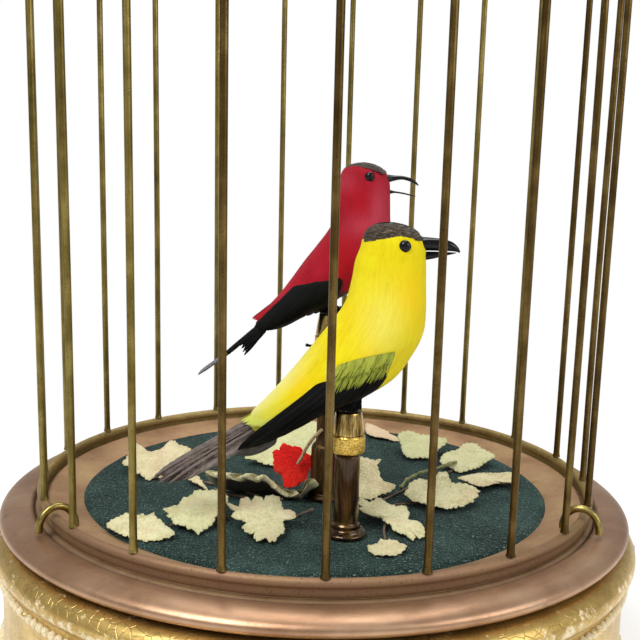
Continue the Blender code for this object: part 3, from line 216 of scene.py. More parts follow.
# Each metal's dark, middle and light colour, its roughness, and where it differs from a plain one
METALS = {
    "wire_brass": ((0.030, 0.017, 0.006), (0.105, 0.064, 0.018), (0.27, 0.185, 0.058), 0.40, DRAWN),
    # The next finish is a lighter, golden copy of wire_brass: painted light for the wires on the left and at
    # the back.
    "golden_wire_brass": ((0.070, 0.048, 0.012), (0.21, 0.155, 0.040), (0.42, 0.33, 0.11), 0.40, DRAWN),
    "ring_brass": ((0.20, 0.135, 0.045), (0.34, 0.245, 0.090), (0.47, 0.36, 0.15), 0.62, RING),
    "staple_brass": ((0.10, 0.075, 0.02), (0.28, 0.21, 0.06), (0.55, 0.44, 0.16), 0.32, {}),
    "gear_brass": ((0.45, 0.31, 0.09), (0.60, 0.43, 0.15), (0.74, 0.56, 0.24), 0.30, {"wear": 0.3}),
    "gear_steel": ((0.20, 0.20, 0.21), (0.42, 0.42, 0.43), (0.60, 0.60, 0.60), 0.28, {"wear": 0.4}),
}


def metal_finish(name):
    *plain, special = METALS[name]
    return worn_metal(name, *plain, **special)


def worn_metal(
    name, dark, middle, light, rough, metal=1.0, grain=900, wear=0.5, streak=(1, 1, 1), front=None
):
    """A metal whose tone drifts from dark to light in soft patches, with fine scratches and specks of grime.

    A front colour takes over toward -Y.
    """
    finish = Finish(name, Metallic=metal)
    where = finish.place()
    patches = finish.noise(where, 120, 4, 0.6)
    scratches = finish.noise(finish.place(streak), grain, 3, 0.6)
    specks = finish.noise(where, 2600, 1).above(0.62, 0.72)
    tone = (patches * 0.6 + scratches * 0.5 - 0.05).clamp()
    colour = finish.ramp(tone, (0.25, dark), (0.5, middle), (0.75, light))
    if front:
        y = finish.node("ShaderNodeSeparateXYZ", {}, {0: where}, "Y")
        colour = finish.mix((0 - y).above(0.0, 0.055) * (0.4 + 0.9 * patches).clamp(), colour, front)
    grime = specks * wear
    colour = finish.mix(grime, colour, tuple(0.35 * c for c in dark))
    return finish.use(
        Base_Color=colour,
        Roughness=(rough + 0.25 * (scratches - 0.5) + 0.15 * grime).clamp(),
        Normal=finish.bump(scratches * 0.6 + patches * 0.3 - specks * 0.4, 0.00006, 0.6),
    )


def pan_copper():
    """Satin metal, pink outside and browner by the felt, with golden patches and rubbed spots."""
    finish = Finish("pan_copper")
    where = finish.place()
    patches = finish.noise(where, 60, 4, 0.6)
    fine = finish.noise(where, 1500, 2, 0.6)
    pink = finish.ramp(
        patches, (0.3, (0.31, 0.17, 0.095)), (0.55, (0.44, 0.27, 0.165)), (0.8, (0.53, 0.355, 0.22)))
    golden = finish.ramp(
        patches, (0.3, (0.25, 0.14, 0.07)), (0.55, (0.40, 0.25, 0.135)), (0.8, (0.50, 0.36, 0.18)))
    inside = finish.attribute("inside").clamp()
    rubbed = finish.noise(where, 230, 5, 0.7).above(0.6, 0.72) * 0.45
    colour = finish.mix(rubbed, finish.mix(inside, pink, golden), (0.17, 0.10, 0.05))
    # Painted shade: the groove outside the ring is darkened, and it is also rougher and less metallic.
    groove = finish.attribute("groove").clamp()
    return finish.use(
        Base_Color=finish.mix(groove * (0.55 + 0.45 * fine), colour, (0.06, 0.042, 0.022)),
        Roughness=(0.38 + 0.22 * inside + 0.3 * (fine - 0.5) + 0.2 * rubbed + 0.25 * groove).clamp(),
        Metallic=(0.85 - 0.5 * groove).clamp(),
        Normal=finish.bump(fine * 0.5 + patches * 0.5, 0.00005, 0.6),
    )


def gilded_gesso():
    """Gold leaf over cream gesso, worn through on the raised places and browned in the hollows."""
    finish = Finish("gilded_gesso")
    where = finish.place()
    cloud = finish.noise(where, 90, 5, 0.65)
    fine = finish.noise(where, 1200, 3, 0.6)
    cracks = finish.cells(where, 420, "DISTANCE_TO_EDGE").above(0.05, 0.0)
    gold = finish.ramp(
        cloud, (0.3, (0.42, 0.27, 0.07)), (0.6, (0.66, 0.46, 0.15)), (0.85, (0.80, 0.62, 0.28)))
    worn = (finish.noise(where, 330, 5, 0.7) + 0.3 * finish.attribute("raised")).above(0.60, 0.72)
    colour = finish.mix(worn * 0.8, gold, (0.80, 0.70, 0.48))
    return finish.use(
        Base_Color=finish.mix(cracks * 0.35, colour, (0.20, 0.13, 0.06)),
        Metallic=(0.85 - 0.8 * worn).clamp(),
        Roughness=(0.34 + 0.3 * worn + 0.25 * (fine - 0.5)).clamp(),
        Normal=finish.bump(fine * 0.4 + cloud * 0.6 - cracks * 0.8, 0.00008, 0.7),
    )


def dark_lacquer(name, gloss):
    """Dark brown lacquer over brass, with amber showing through in long streaks."""
    finish = Finish(name, Metallic=0.9, Coat_Weight=0.5 * gloss, Coat_Roughness=0.1)
    streaks = finish.noise(finish.place((1, 1, 0.12)), 420, 4, 0.65)
    specks = finish.noise(finish.place(), 1400, 2).above(0.6, 0.7)
    colour = finish.ramp(
        streaks, (0.3, (0.018, 0.009, 0.004)), (0.52, (0.065, 0.034, 0.011)), (0.72, (0.25, 0.15, 0.04)))
    return finish.use(
        Base_Color=finish.mix(specks * 0.5, colour, (0.02, 0.012, 0.007)),
        Roughness=(0.5 - 0.28 * gloss + 0.35 * (streaks - 0.4)).clamp(),
        Normal=finish.bump(streaks - specks * 0.6, 0.00005, 0.5),
    )


def engraved_gold():
    """Bright gold struck all over with small dots, dark in the bottom of each."""
    finish = Finish("engraved_gold", Metallic=1.0)
    where = finish.place()
    cloud = finish.noise(where, 500, 4, 0.6)
    band = finish.attribute("engraved").clamp()
    struck = finish.cells(where, 2500).above(0.50, 0.22) * band
    streaks = finish.noise(finish.place((1, 1, 0.1)), 900, 3, 0.7)
    plain = finish.ramp(
        streaks, (0.36, (0.09, 0.05, 0.015)), (0.5, (0.36, 0.23, 0.07)), (0.66, (0.74, 0.54, 0.20)))
    bright = finish.ramp(
        cloud, (0.3, (0.50, 0.30, 0.05)), (0.55, (0.85, 0.58, 0.12)), (0.8, (1.0, 0.78, 0.28)))
    return finish.use(
        Base_Color=finish.mix(struck * 0.6, finish.mix(band, plain, bright), (0.20, 0.10, 0.02)),
        Roughness=(0.24 + 0.2 * cloud * band + 0.2 * struck).clamp(),
        Normal=finish.bump(cloud * 0.25 - struck, 0.00009, 0.9),
    )


def green_flock():
    """Dark green flock: short fibres that catch pale light, with flattened patches and pale lint."""
    finish = Finish(
        "green_flock", Roughness=0.95, Sheen_Weight=0.12, Sheen_Roughness=0.4, Sheen_Tint=(0.4, 0.55, 0.5),
        Specular_IOR_Level=0.15)
    where = finish.place()
    patches = finish.noise(where, 70, 4, 0.6)
    fibres = finish.noise(where, 2300, 3, 0.7)
    clumps = finish.cells(where, 950).above(0.55, 0.2)
    lint = finish.noise(where, 2500, 2, 0.8).above(0.55, 0.68) * (0.35 + 0.65 * clumps)
    nap = (patches * 0.45 + fibres * 0.55).clamp()
    colour = finish.ramp(
        nap, (0.34, (0.002, 0.007, 0.006)), (0.5, (0.008, 0.023, 0.020)), (0.68, (0.040, 0.082, 0.070)))
    return finish.use(
        Base_Color=finish.mix((lint * 0.8).clamp(), colour, (0.34, 0.42, 0.37)),
        Normal=finish.bump(fibres + clumps * 0.6 + patches * 0.4, 0.0003, 0.9),
    )


# Each cloth's sheen and share of tinted spots, and its pale, middle and deep colour and tint
CLOTHS = {
    "cream_leaf": (0.08, 0.35, (0.82, 0.77, 0.5), (0.67, 0.62, 0.35), (0.38, 0.36, 0.15), (0.64, 0.42, 0.28)),
    "brown_stalk": (0, 0.35, (0.3, 0.2, 0.14), (0.17, 0.11, 0.075), (0.06, 0.038, 0.026), (0.2, 0.11, 0.08)),
    "green_vine": (
        0.25, 0.35, (0.36, 0.36, 0.13), (0.16, 0.17, 0.04), (0.04, 0.045, 0.012), (0.22, 0.18, 0.07)),
    "red_cloth": (0, 0.4, (0.98, 0.022, 0.01), (0.92, 0.01, 0.006), (0.66, 0.005, 0.004), (0.95, 0.07, 0.03)),
    "tan_stem": (0.25, 0.35, (0.66, 0.5, 0.28), (0.48, 0.33, 0.16), (0.2, 0.12, 0.05), (0.3, 0.16, 0.08)),
}


def stiff_cloth(name):
    """Stiffened napped cloth, crumbly on top, with soft tints and the odd darker fibre."""
    sheen, fleck, pale, middle, deep, tint = CLOTHS[name]
    finish = Finish(name, Roughness=0.92, Sheen_Weight=sheen)
    where = finish.place()
    cloud = finish.noise(where, 210, 4, 0.65)
    crumb = finish.noise(where, 1500, 4, 0.75)
    tone = (cloud * 0.45 + crumb * 0.55).clamp()
    colour = finish.ramp(tone, (0.34, deep), (0.5, middle), (0.68, pale))
    blush = finish.noise(finish.place(at=(3, 1, 2)), 150, 3).above(0.56, 0.70)
    hue, edge, under = (finish.attribute(key) for key in ("hue", "edge", "under"))
    for share, other in (
        (blush * fleck, tint),
        (hue.clamp() * 0.65, tint),
        ((0 - hue).clamp() * 0.5, (0.50, 0.56, 0.26)),
        (edge.clamp() * 0.35, deep),
        # Painted shade: a leaf's underside is darkened almost to black.
        ((under * 1.3).clamp() * 0.93, (0.014, 0.012, 0.005)),
    ):
        colour = finish.mix(share, colour, other)
    return finish.use(Base_Color=colour, Normal=finish.bump(crumb + cloud * 0.6, 0.00045, 1.0))


def plumage(name, colours, streak=0.35, rough=0.7, sheen=0.12, ends=None, shine=0.25, patch=None,
            light=(0.72, 0.70, 0.30)):
    """Feathers: the tone runs in streaks along the barbs, with a slow drift over the body.

    The attribute across counts centimetres over the barbs, so that streaks are 0.4 mm and 0.12 mm wide.
    """
    finish = Finish(name, Roughness=rough, Sheen_Weight=sheen, Sheen_Roughness=0.45, Specular_IOR_Level=shine)
    along, across, tone = (finish.attribute(key) for key in ("along", "across", "tone"))
    barbs = finish.noise(finish.vector(across * 8, along * 1.3, tone * 9), 3.0, 5, 0.65, 0.3)
    fine = finish.noise(finish.vector(across * 28, along * 4, tone * 5), 3.0, 3, 0.6)
    drift = finish.noise(finish.place(), 130, 3, 0.6)
    mixed = (barbs * streak + fine * 0.25 + drift * (0.75 - streak) + (tone - 0.5) * 0.3).clamp()
    colour = finish.ramp(mixed, *colours)
    if patch:
        cloud = finish.noise(finish.place(at=(2, 5, 1)), 75, 3, 0.5)
        throat = finish.attribute("throat") * (0.3 + 0.6 * barbs)
        share = (cloud * 0.7 + barbs * 0.3).above(0.50, 0.66) * 0.45 + throat
        colour = finish.mix(share.clamp(), colour, patch)
    if ends:
        colour = finish.mix(finish.attribute("ends").clamp(), colour, ends)
    # Painted highlight: where the pale attribute is set, the light colour is mixed in, more on the barbs.
    pale = finish.attribute("pale").clamp() * (0.4 + 0.6 * barbs)
    colour = finish.mix(pale, colour, light)
    return finish.use(
        Base_Color=finish.mix(finish.attribute("dark").clamp(), colour, (0.004, 0.004, 0.0045)),
        Normal=finish.bump(barbs * 0.6 + fine * 0.5, 0.00016, 0.8),
    )


def black_plumage(name):
    return plumage(name, (
        (0.3, (0.0012, 0.0012, 0.0014)), (0.55, (0.003, 0.0033, 0.0034)), (0.8, (0.012, 0.013, 0.013)),
    ), streak=0.5, rough=0.55, sheen=0.0, shine=0.12)


def glossy_horn(name, colour=(0.003, 0.0028, 0.003), rough=0.1):
    finish = Finish(name, Coat_Weight=0.12, Coat_Roughness=0.03, Specular_IOR_Level=0.2)
    cloud = finish.noise(finish.place(), 600, 3, 0.6)
    tint = tuple(c * 2 + 0.002 for c in colour)
    return finish.use(
        Base_Color=finish.mix(cloud.above(0.5, 0.9), colour, tint),
        Roughness=(rough + 0.25 * (cloud - 0.45)).clamp(),
        Normal=finish.bump(cloud, 0.00003, 0.4),
    )


def board_wood():
    finish = Finish("board_wood", Roughness=0.6)
    grain = finish.noise(finish.place((0.06, 1, 1)), 900, 4, 0.6)
    colour = finish.ramp(
        grain, (0.35, (0.16, 0.08, 0.035)), (0.6, (0.34, 0.20, 0.10)), (0.8, (0.45, 0.29, 0.16)))
    return finish.use(Base_Color=colour, Normal=finish.bump(grain, 0.0001, 0.5))


# Surfaces


def unit(v):
    return v / np.maximum(np.linalg.norm(v, axis=-1, keepdims=True), 1e-12)


def grow(x, start, span):
    """0 up to the start, then an even rise to 1 over the span. A negative span goes the other way."""
    return np.clip((x - start) / span, 0, 1)


class Surfaces:
    """Collects grids of points, with values at each point, that become one mesh."""

    def __init__(self):
        self.points = []
        self.quads = []
        self.tris = []
        self.values = []
        self.count = 0

    def _keep(self, points, values):
        index = self.count + np.arange(points[..., 0].size).reshape(points.shape[:-1])
        self.count += index.size
        self.points.append(points.reshape(-1, 3))
        self.values.append({k: np.broadcast_to(v, index.shape).reshape(-1) for k, v in values.items()})
        return index

    def _quads(self, points, loop, values):
        index = self._keep(points, values)
        whole = np.concatenate([index, index[..., :1]], axis=-1)
        if loop:
            whole = np.concatenate([whole, whole[..., :1, :]], axis=-2)
        corners = (whole[..., :-1, :-1], whole[..., 1:, :-1], whole[..., 1:, 1:], whole[..., :-1, 1:])
        self.quads.append(np.stack(corners, -1).reshape(-1, 4))
        return index

    def sheet(self, points, **values):
        """Rings of points joined in a row, and the last one to the first."""
        self._quads(points, True, values)
        return self

    def tube(self, points, **values):
        """Rings of points joined in a row, with a fan from each end ring to its middle."""
        index = self._quads(points, False, values)
        for end in (0, -1):
            middle = points[..., end, :, :].mean(-2)
            own = {k: np.broadcast_to(v, index.shape)[..., end, :].mean(-1) for k, v in values.items()}
            centre = self._keep(middle, own)
            ring = index[..., end, :]
            fan = (ring, np.roll(ring, -1, -1), np.broadcast_to(centre[..., None], ring.shape))
            self.tris.append(np.stack(fan, -1).reshape(-1, 3))
        return self

    def put(self, name, finish, body, slot, *nodes, sharp=None):
        """Makes the piece: it rides on a body, takes the finish it is given and stands for CAD nodes; the
        slot is not used.
        """
        points = np.concatenate(self.points)
        quads = np.concatenate(self.quads)
        tris = np.concatenate(self.tris) if self.tris else np.zeros((0, 3), int)
        corners = np.concatenate([quads.ravel(), tris.ravel()])
        starts = np.concatenate([4 * np.arange(len(quads)), 4 * len(quads) + 3 * np.arange(len(tris))])
        mesh = bpy.data.meshes.new(name)
        mesh.vertices.add(len(points))
        mesh.vertices.foreach_set("co", points.astype(np.float32).ravel())
        mesh.loops.add(len(corners))
        mesh.loops.foreach_set("vertex_index", corners.astype(np.int32))
        mesh.polygons.add(len(starts))
        mesh.polygons.foreach_set("loop_start", starts.astype(np.int32))
        mesh.update(calc_edges=True)
        for key in sorted({key for part in self.values for key in part}):
            held = mesh.attributes.new(key, "FLOAT", "POINT")
            parts = [part.get(key, np.zeros(len(p))) for part, p in zip(self.values, self.points)]
            held.data.foreach_set("value", np.concatenate(parts).astype(np.float32))
        work = bmesh.new()
        work.from_mesh(mesh)
        bmesh.ops.recalc_face_normals(work, faces=work.faces)
        work.to_mesh(mesh)
        work.free()
        mesh.shade_smooth()
        if sharp:
            mesh.set_sharp_from_angle(angle=math.radians(sharp))
        mesh.materials.append(finish)
        made = bpy.data.objects.new(name, mesh)
        bpy.context.scene.collection.objects.link(made)
        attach(made, body)
        if nodes:
            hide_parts(*nodes)


def turns(count):
    return np.linspace(0, 2 * np.pi, count, endpoint=False)


def polar(radius, degrees, z=0.0):
    a = np.radians(degrees)
    return np.stack(np.broadcast_arrays(radius * np.cos(a), radius * np.sin(a), z), -1)


def bar(path, radius, sides=12, up=(0, 0, 1), closed=False):
    """Rings round a path: its point, plus radius times the cosine to one side and the sine to the other."""
    if closed:
        along = unit(np.roll(path, -1, -2) - np.roll(path, 1, -2))
    else:
        along = unit(np.gradient(path, axis=-2))
    side = unit(np.cross(along, np.asarray(up, float)))
    face = np.cross(side, along)
    a = turns(sides)
    radius = np.broadcast_to(radius, path.shape[:-1])[..., None, None]
    ring = np.cos(a)[:, None] * side[..., None, :] + np.sin(a)[:, None] * face[..., None, :]
    return path[..., None, :] + radius * ring


def turned(profile, steps, at=(0, 0)):
    """A profile of (radius, height) carried round the axis: x and y are radius times cosine and sine."""
    profile = np.asarray(profile, float)
    a = turns(steps)
    r, z = profile[:, :1], profile[:, 1:]
    return np.stack([at[0] + r * np.cos(a), at[1] + r * np.sin(a), z + 0 * a], -1)


def ball(end, rings, sides, flat=1.0):
    """A ball of radius 1: latitude from -end to end, longitude round the y axis, pressed flat along y."""
    lat, lon = np.meshgrid(np.linspace(-end, end, rings), turns(sides), indexing="ij")
    return np.stack([np.cos(lat) * np.cos(lon), flat * np.sin(lat), np.cos(lat) * np.sin(lon)], -1)


def eased(profile, rounds=2, share=0.25, closed=True):
    """Cuts each corner of an outline twice or more, so that its edges are rounded as if by wear."""
    p = np.asarray(profile, float)
    for _ in range(rounds):
        after = np.roll(p, -1, 0) if closed else p[1:]
        before = p if closed else p[:-1]
        step = share * (after - before)
        cut = np.stack([before + step, after - step], 1).reshape(-1, 2)
        p = cut if closed else np.concatenate([p[:1], cut, p[-1:]])
    return p


def cubic(a, b, c, d, s):
    """Catmull-Rom: the smooth curve from b to c at share s of the way, with a before them and d after."""
    return 0.5 * (2 * b + (c - a) * s + (2 * a - 5 * b + 4 * c - d) * s**2 + (3 * b - a - 3 * c + d) * s**3)


def smooth_rows(table, where):
    """A table's rows read at places between them, along a smooth curve that leaves its ends straight."""
    table = np.asarray(table, float)
    p = np.concatenate([2 * table[:1] - table[1:2], table, 2 * table[-1:] - table[-2:-1]])
    t = np.clip(np.asarray(where, float), 0, len(table) - 1 - 1e-9)
    i = t.astype(int)
    return cubic(p[i], p[i + 1], p[i + 2], p[i + 3], (t - i)[..., None])


def smooth_path(points, count):
    return smooth_rows(points, np.linspace(0, len(points) - 1 - 1e-9, count))


# Cage


def wire_r_at(height):
    return WIRE_CIRCLE_R + WIRE_LEAN * height


def cage_wires():
    """Upright wires, a hair out of straight, each spread a little where it is soldered to the ring."""
    brown, golden = metal_finish("wire_brass"), metal_finish("golden_wire_brass")
    height = np.concatenate([[0.0001, 0.0004, 0.0009], np.linspace(0.0016, SHOULDER_H - 0.0022, 30)])
    share = height / SHOULDER_H
    radius = WIRE_R + SOLDER_SPREAD * np.exp(-height / SOLDER_H)
    for index in range(WIRE_COUNT):
        degrees = FIRST_WIRE_DEG + 360 * index / WIRE_COUNT
        bend = WIRE_WANDER * np.sin(np.pi * share * (1 + random.random())) * random.normal(0, 1)
        path = polar(wire_r_at(height) + bend, degrees, RAIL_Z + height)
        # Painted light: the wires on the left and at the back take the lighter copy of the brass.
        finish = golden if path[0, 0] < -0.02 or path[0, 1] > 0.02 else brown
        name = f"wire_{index + 1:02d}"
        shape = Surfaces().tube(bar(path, radius, 14, (1, 0.2, 0)))
        shape.put(name, finish, "base", "aged_brass", "cage_" + name, sharp=50)


def cage_ring():
    """The ring under the wires: a flat band with a rounded bead on top, the same on both sides."""
    half = np.array([(0.4, 0), (1, -0.6), (1, -1.6), (0.5, -2.2), (0.5, -4.2)])
    shares = np.concatenate([half, half[::-1] * (-1, 1)])
    profile = shares * (RING_HALF_W, MM) + (WIRE_CIRCLE_R, RAIL_Z)
    shape = Surfaces().sheet(turned(eased(profile, 2), 240))
    shape.put("bottom_ring", metal_finish("ring_brass"), "base", "aged_brass", "cage_bottom_ring")


def cage_dome():
    """Shoulder ring, ribs on an elliptic arch, a turned crown and its eye."""
    shoulder_z = RAIL_Z + SHOULDER_H
    shoulder_r = wire_r_at(SHOULDER_H)
    crown_z = shoulder_z + DOME_H
    a = turns(14)
    section = SHOULDER_WIRE_R * np.stack([np.cos(a), np.sin(a)], -1) + (shoulder_r, shoulder_z)
    shape = Surfaces().sheet(turned(section, 210))
    lift = np.linspace(0.02, math.acos(0.55 * CROWN_R / shoulder_r), 36)
    degrees = FIRST_WIRE_DEG + 360 * np.arange(WIRE_COUNT)[:, None] / WIRE_COUNT
    ribs = polar(shoulder_r * np.cos(lift)[None], degrees, shoulder_z + DOME_H * np.sin(lift)[None])
    out = polar(1.0, degrees[:, 0] + 90)[:, None, :]
    shape.tube(bar(ribs, WIRE_R, 10, np.broadcast_to(out, ribs.shape)))
    crown = [
        (0.0001, crown_z + CROWN_H),
        (0.34 * CROWN_R, crown_z + CROWN_H),
        (0.40 * CROWN_R, crown_z + 0.62 * CROWN_H),
        (0.72 * CROWN_R, crown_z + 0.36 * CROWN_H),
        (CROWN_R, crown_z + WIRE_R),
        (CROWN_R, crown_z - 2.2 * WIRE_R),
        (0.5 * CROWN_R, crown_z - 3.6 * WIRE_R),
        (0.0001, crown_z - 3.6 * WIRE_R),
    ]
    shape.tube(turned(eased(crown, 3, closed=False), 48))
    eye_z = crown_z + CROWN_H + EYE_R
    a = turns(40)
    eye = np.stack([EYE_R * np.sin(a), 0 * a, eye_z + EYE_R * np.cos(a)], -1)
    shape.sheet(bar(eye, EYE_WIRE_R, 12, (0, 1, 0), closed=True))
    shape.put("dome", metal_finish("wire_brass"), "base", "aged_brass", "cage_dome", sharp=45)
    return eye_z


def hanging_loop(eye_z):
    """A ring of wire through the eye, lying over toward -X."""
    a = turns(72)
    lean = math.radians(LOOP_REST_DEG)
    up = LOOP_R * (1 - np.cos(a))
    path = np.stack([-up * math.sin(lean), LOOP_R * np.sin(a), eye_z + up * math.cos(lean)], -1)
    shape = Surfaces().sheet(bar(path, LOOP_WIRE_R, 14, (math.cos(lean), 0, math.sin(lean)), closed=True))
    shape.put("loop", metal_finish("wire_brass"), "hanging_loop_body", "aged_brass", "hanging_loop")


def staples():
    """Bent wire clips over the ring: half circles, drawn a little taller, whose ends go down into the pan."""
    finish = metal_finish("staple_brass")
    past = 0.12
    lift = np.linspace(-past, math.pi + past, 40)
    low = RIM_Z + RIM_HALF_H + 0.0006 + STAPLE_WIRE_R
    height = low + 1.15 * STAPLE_HALF_W * np.sin(np.clip(lift, 0, math.pi))
    height = height - 0.0006 * np.clip(-np.sin(lift), 0, 1) / past
    for place, degrees in STAPLE_DEG.items():
        path = polar(WIRE_CIRCLE_R + STAPLE_HALF_W * np.cos(lift), degrees, height)
        shape = Surfaces().tube(bar(path, STAPLE_WIRE_R, 14, polar(1.0, degrees + 90)))
        shape.put(f"staple_{place}", finish, "base", "bright_brass", f"cage_staple_{place}", sharp=60)


# Floor and base


def felt_floor():
    """A flat disc whose edge rolls over, slightly uneven in height and outline."""
    edge_r = FELT_R - FELT_EDGE_W
    rolled = FELT_R - 0.0008 * np.cos(np.linspace(0.6, 1.57, 6))
    rows = np.concatenate([np.linspace(0.0001, edge_r, 60), rolled])
    a = turns(260)
    r = rows[:, None] * (1 + 0 * a)
    x, y = r * np.cos(a), r * np.sin(a)
    swell = 0.00010 * np.sin(170 * x + 1.3) * np.sin(150 * y)
    ripple = 0.00004 * np.sin(900 * x) * np.sin(860 * y + 1)
    edge = grow(r, edge_r, FELT_EDGE_W)
    ragged = 0.991 + edge * 0.0008 * (np.sin(37 * a) + np.sin(61 * a + 1) + np.sin(113 * a))
    top = FELT_TOP - 0.0001 + swell + ripple - 0.0006 * edge**2
    low = np.full_like(top[-1:], FELT_TOP - 0.00095)
    upper = np.stack([x * ragged, y * ragged, top], -1)
    lower = np.stack([x[-1:], y[-1:], low], -1)
    shape = Surfaces().tube(np.concatenate([upper, lower]))
    shape.put("felt", green_flock(), "base", "green_flock", "felt_floor")


def floor_pan():
    """The turned pan: margin, cove up to the ring, a groove outside it with painted shade, and the rounded
    rim.
    """
    seat_in = WIRE_CIRCLE_R - SEAT_HALF_W
    seat_out = WIRE_CIRCLE_R + SEAT_HALF_W
    floor = FELT_TOP - 0.0013
    margin = FELT_TOP + 0.0002
    half_w = 0.66 * (RIM_R - seat_out)
    a = np.radians(np.linspace(112, -84, 26))
    rim = np.stack([RIM_R - half_w + half_w * np.cos(a), RIM_Z + RIM_HALF_H * np.sin(a)], -1)
    inner = [
        (0.0001, floor),
        (FELT_R - 0.0012, floor),
        (FELT_R - 0.0010, FELT_TOP - 0.0011),
        (FELT_R + 0.0006, FELT_TOP - 0.0004),
        (FELT_R + 0.0034, margin + 0.0001),
        (FELT_R + 0.0060, margin + 0.0004),
        (seat_in - 0.0004, margin + 0.0009),
        (seat_in, margin + 0.0003),
        (seat_in, RAIL_Z - 0.0045),
        (seat_out, RAIL_Z - 0.0045),
        (seat_out + 0.0003, RIM_Z + 0.0012),
    ]
    outer = [(seat_in, RIM_Z - RIM_HALF_H), (FELT_R, floor - 0.0012), (0.0001, floor - 0.0012)]
    profile = np.concatenate([eased(inner, 2, closed=False), rim, outer])
    r, z = profile[:, :1], profile[:, 1:]
    # Marks the groove outside the ring, where pan_copper paints shade.
    groove = np.exp(-(((r - seat_out - 0.0004) / 0.0007) ** 2)) * (z > RIM_Z)
    shape = Surfaces().tube(turned(profile, 260), groove=groove, inside=(r < seat_out).astype(float))
    shape.put("pan", pan_copper(), "base", "copper_satin", "floor_pan", sharp=60)


def base_drum():
    """The turned, gilded drum, with a row of beads under its band and another over its foot."""
    top, ledge, inner = DRUM_TOP / MM, 14.3, 69.9
    profile = [
        (77.5, top), (79.5, top - 0.9), (80.9, top - 2.8), (80.9, top - 4.8), (79.7, top - 6.2),
        (78.4, top - 7.4), (78.4, ledge + 0.4), (79.9, ledge - 1.6),
        (82.5, ledge - 4.4), (84.0, ledge - 7.2), (84.0, 0.8), (83.2, 0),
        (inner + 4, 0), (inner + 4, ledge), (inner, ledge), (inner, top),
    ]
    profile = eased(np.array(profile) * MM, 3, 0.22)
    shape = Surfaces().sheet(turned(profile, 240), raised=grow(profile[:, :1], 0.0795, 0.004))
    bead = ball(1.5, 7, 8)[..., [0, 2, 1]]
    for height, size, count in ((top - 9.5, 1.15, 200), (ledge + 2.8, 1.3, 176)):
        middle = turned([(78.7, height)], count)[0]
        shape.tube((middle[:, None, None] + size * bead) * MM, raised=1.0)
    shape.put("drum", gilded_gesso(), "base", "gilt_wood", "base_drum", sharp=50)


# Birds

# Each slice of the body from crown to tail: breast point x and z, back point x and z, and half width
SLICES = (
    (15.6, 66.95, 14.4, 66.95, 0.6),
    (18.8, 66.2, 11.3, 66.5, 3.4),
    (21.4, 64.6, 9.4, 64.8, 5.1),
    (22.6, 62.0, 8.5, 61.5, 6.0),
    (22.9, 58.5, 7.5, 58.6, 6.5),
    (23.1, 53.5, 6.8, 54.2, 7.3),
    (23.3, 48.5, 5.4, 49.2, 8.6),
    (23.0, 43.8, 2.0, 44.2, 9.6),
    (21.2, 39.3, -1.6, 39.5, 10.0),
    (17.0, 33.2, -5.0, 34.6, 9.6),
    (10.2, 28.8, -8.2, 30.2, 8.4),
    (1.0, 24.8, -11.2, 26.8, 6.4),
    (-7.5, 20.0, -14.2, 23.9, 4.4),
    (-13.8, 17.0, -17.4, 21.2, 3.0),
    (-17.6, 14.6, -19.8, 18.2, 2.4),
)
HEAD_TOP = (14.5, 67.0)
# Slices of the beaks, from the root to the tip
YELLOW_UPPER_BEAK = (
    (20.2, 61.2, 20.2, 64.2, 2.3),
    (21.6, 61.25, 21.8, 64.2, 2.2),
    (23.4, 61.25, 23.9, 64.1, 1.75),
    (25.6, 61.25, 26.2, 63.85, 1.3),
    (27.7, 61.25, 28.3, 63.3, 0.95),
    (29.2, 61.15, 29.6, 62.3, 0.55),
    (30.1, 60.9, 30.2, 61.3, 0.15),
)
YELLOW_LOWER_BEAK = (
    (20.9, 59.2, 20.9, 61.04, 1.5),
    (22.4, 59.15, 22.4, 61.06, 1.6),
    (24.4, 59.5, 24.4, 61.08, 1.25),
    (26.6, 60.1, 26.6, 61.06, 0.85),
    (28.6, 60.6, 28.6, 61.0, 0.4),
    (29.4, 60.85, 29.4, 60.98, 0.12),
)
RED_UPPER_BEAK = (
    (19.0, 61.5, 19.0, 64.2, 2.0),
    (20.6, 61.5, 20.6, 64.0, 1.9),
    (22.4, 62.1, 22.6, 63.75, 1.3),
    (24.8, 62.6, 25.0, 63.65, 0.95),
    (27.0, 62.15, 27.2, 63.15, 0.65),
    (28.5, 61.5, 28.7, 62.3, 0.4),
    (29.5, 61.0, 29.6, 61.3, 0.12),
)
RED_LOWER_BEAK = (
    (20.2, 58.4, 20.2, 60.1, 1.2),
    (21.4, 58.5, 21.3, 59.85, 1.1),
    (23.0, 58.85, 22.9, 59.45, 0.7),
    (25.4, 58.6, 25.3, 59.1, 0.45),
    (27.4, 58.2, 27.3, 58.65, 0.33),
    (28.8, 57.95, 28.8, 58.15, 0.12),
)


class Bird:
    """Where a bird sits: scale, crown, middle plane and post, and the height of its ferrule and its cuff."""

    def __init__(self, name, scale, crown, plane_y, post_x, ferrule_z, cuff_tall):
        self.name = name
        self.scale = scale
        self.crown = crown
        self.plane_y = plane_y
        self.post_x = post_x
        self.ferrule_z = ferrule_z
        self.cuff_tall = cuff_tall

    def world(self, points, mirror=False):
        """Bird millimetres to metres in the object's frame. Mirror gives the far side."""
        sign = -1 if mirror else 1
        p = np.asarray(points, float)
        return np.stack([
            self.crown[0] + (p[..., 0] - HEAD_TOP[0]) * MM * self.scale,
            self.plane_y + sign * p[..., 1] * MM * self.scale,
            RAIL_Z + self.crown[1] + (p[..., 2] - HEAD_TOP[1]) * MM * self.scale,
        ], -1)


YELLOW = Bird("yellow", 1.0, (0.0145, 0.0670), -0.0359, 0.0071, 25.5, 1.0)
RED = Bird("red", 0.86, (0.0100, 0.0795), -0.0104, 0.0029, 24.9, 0.4)


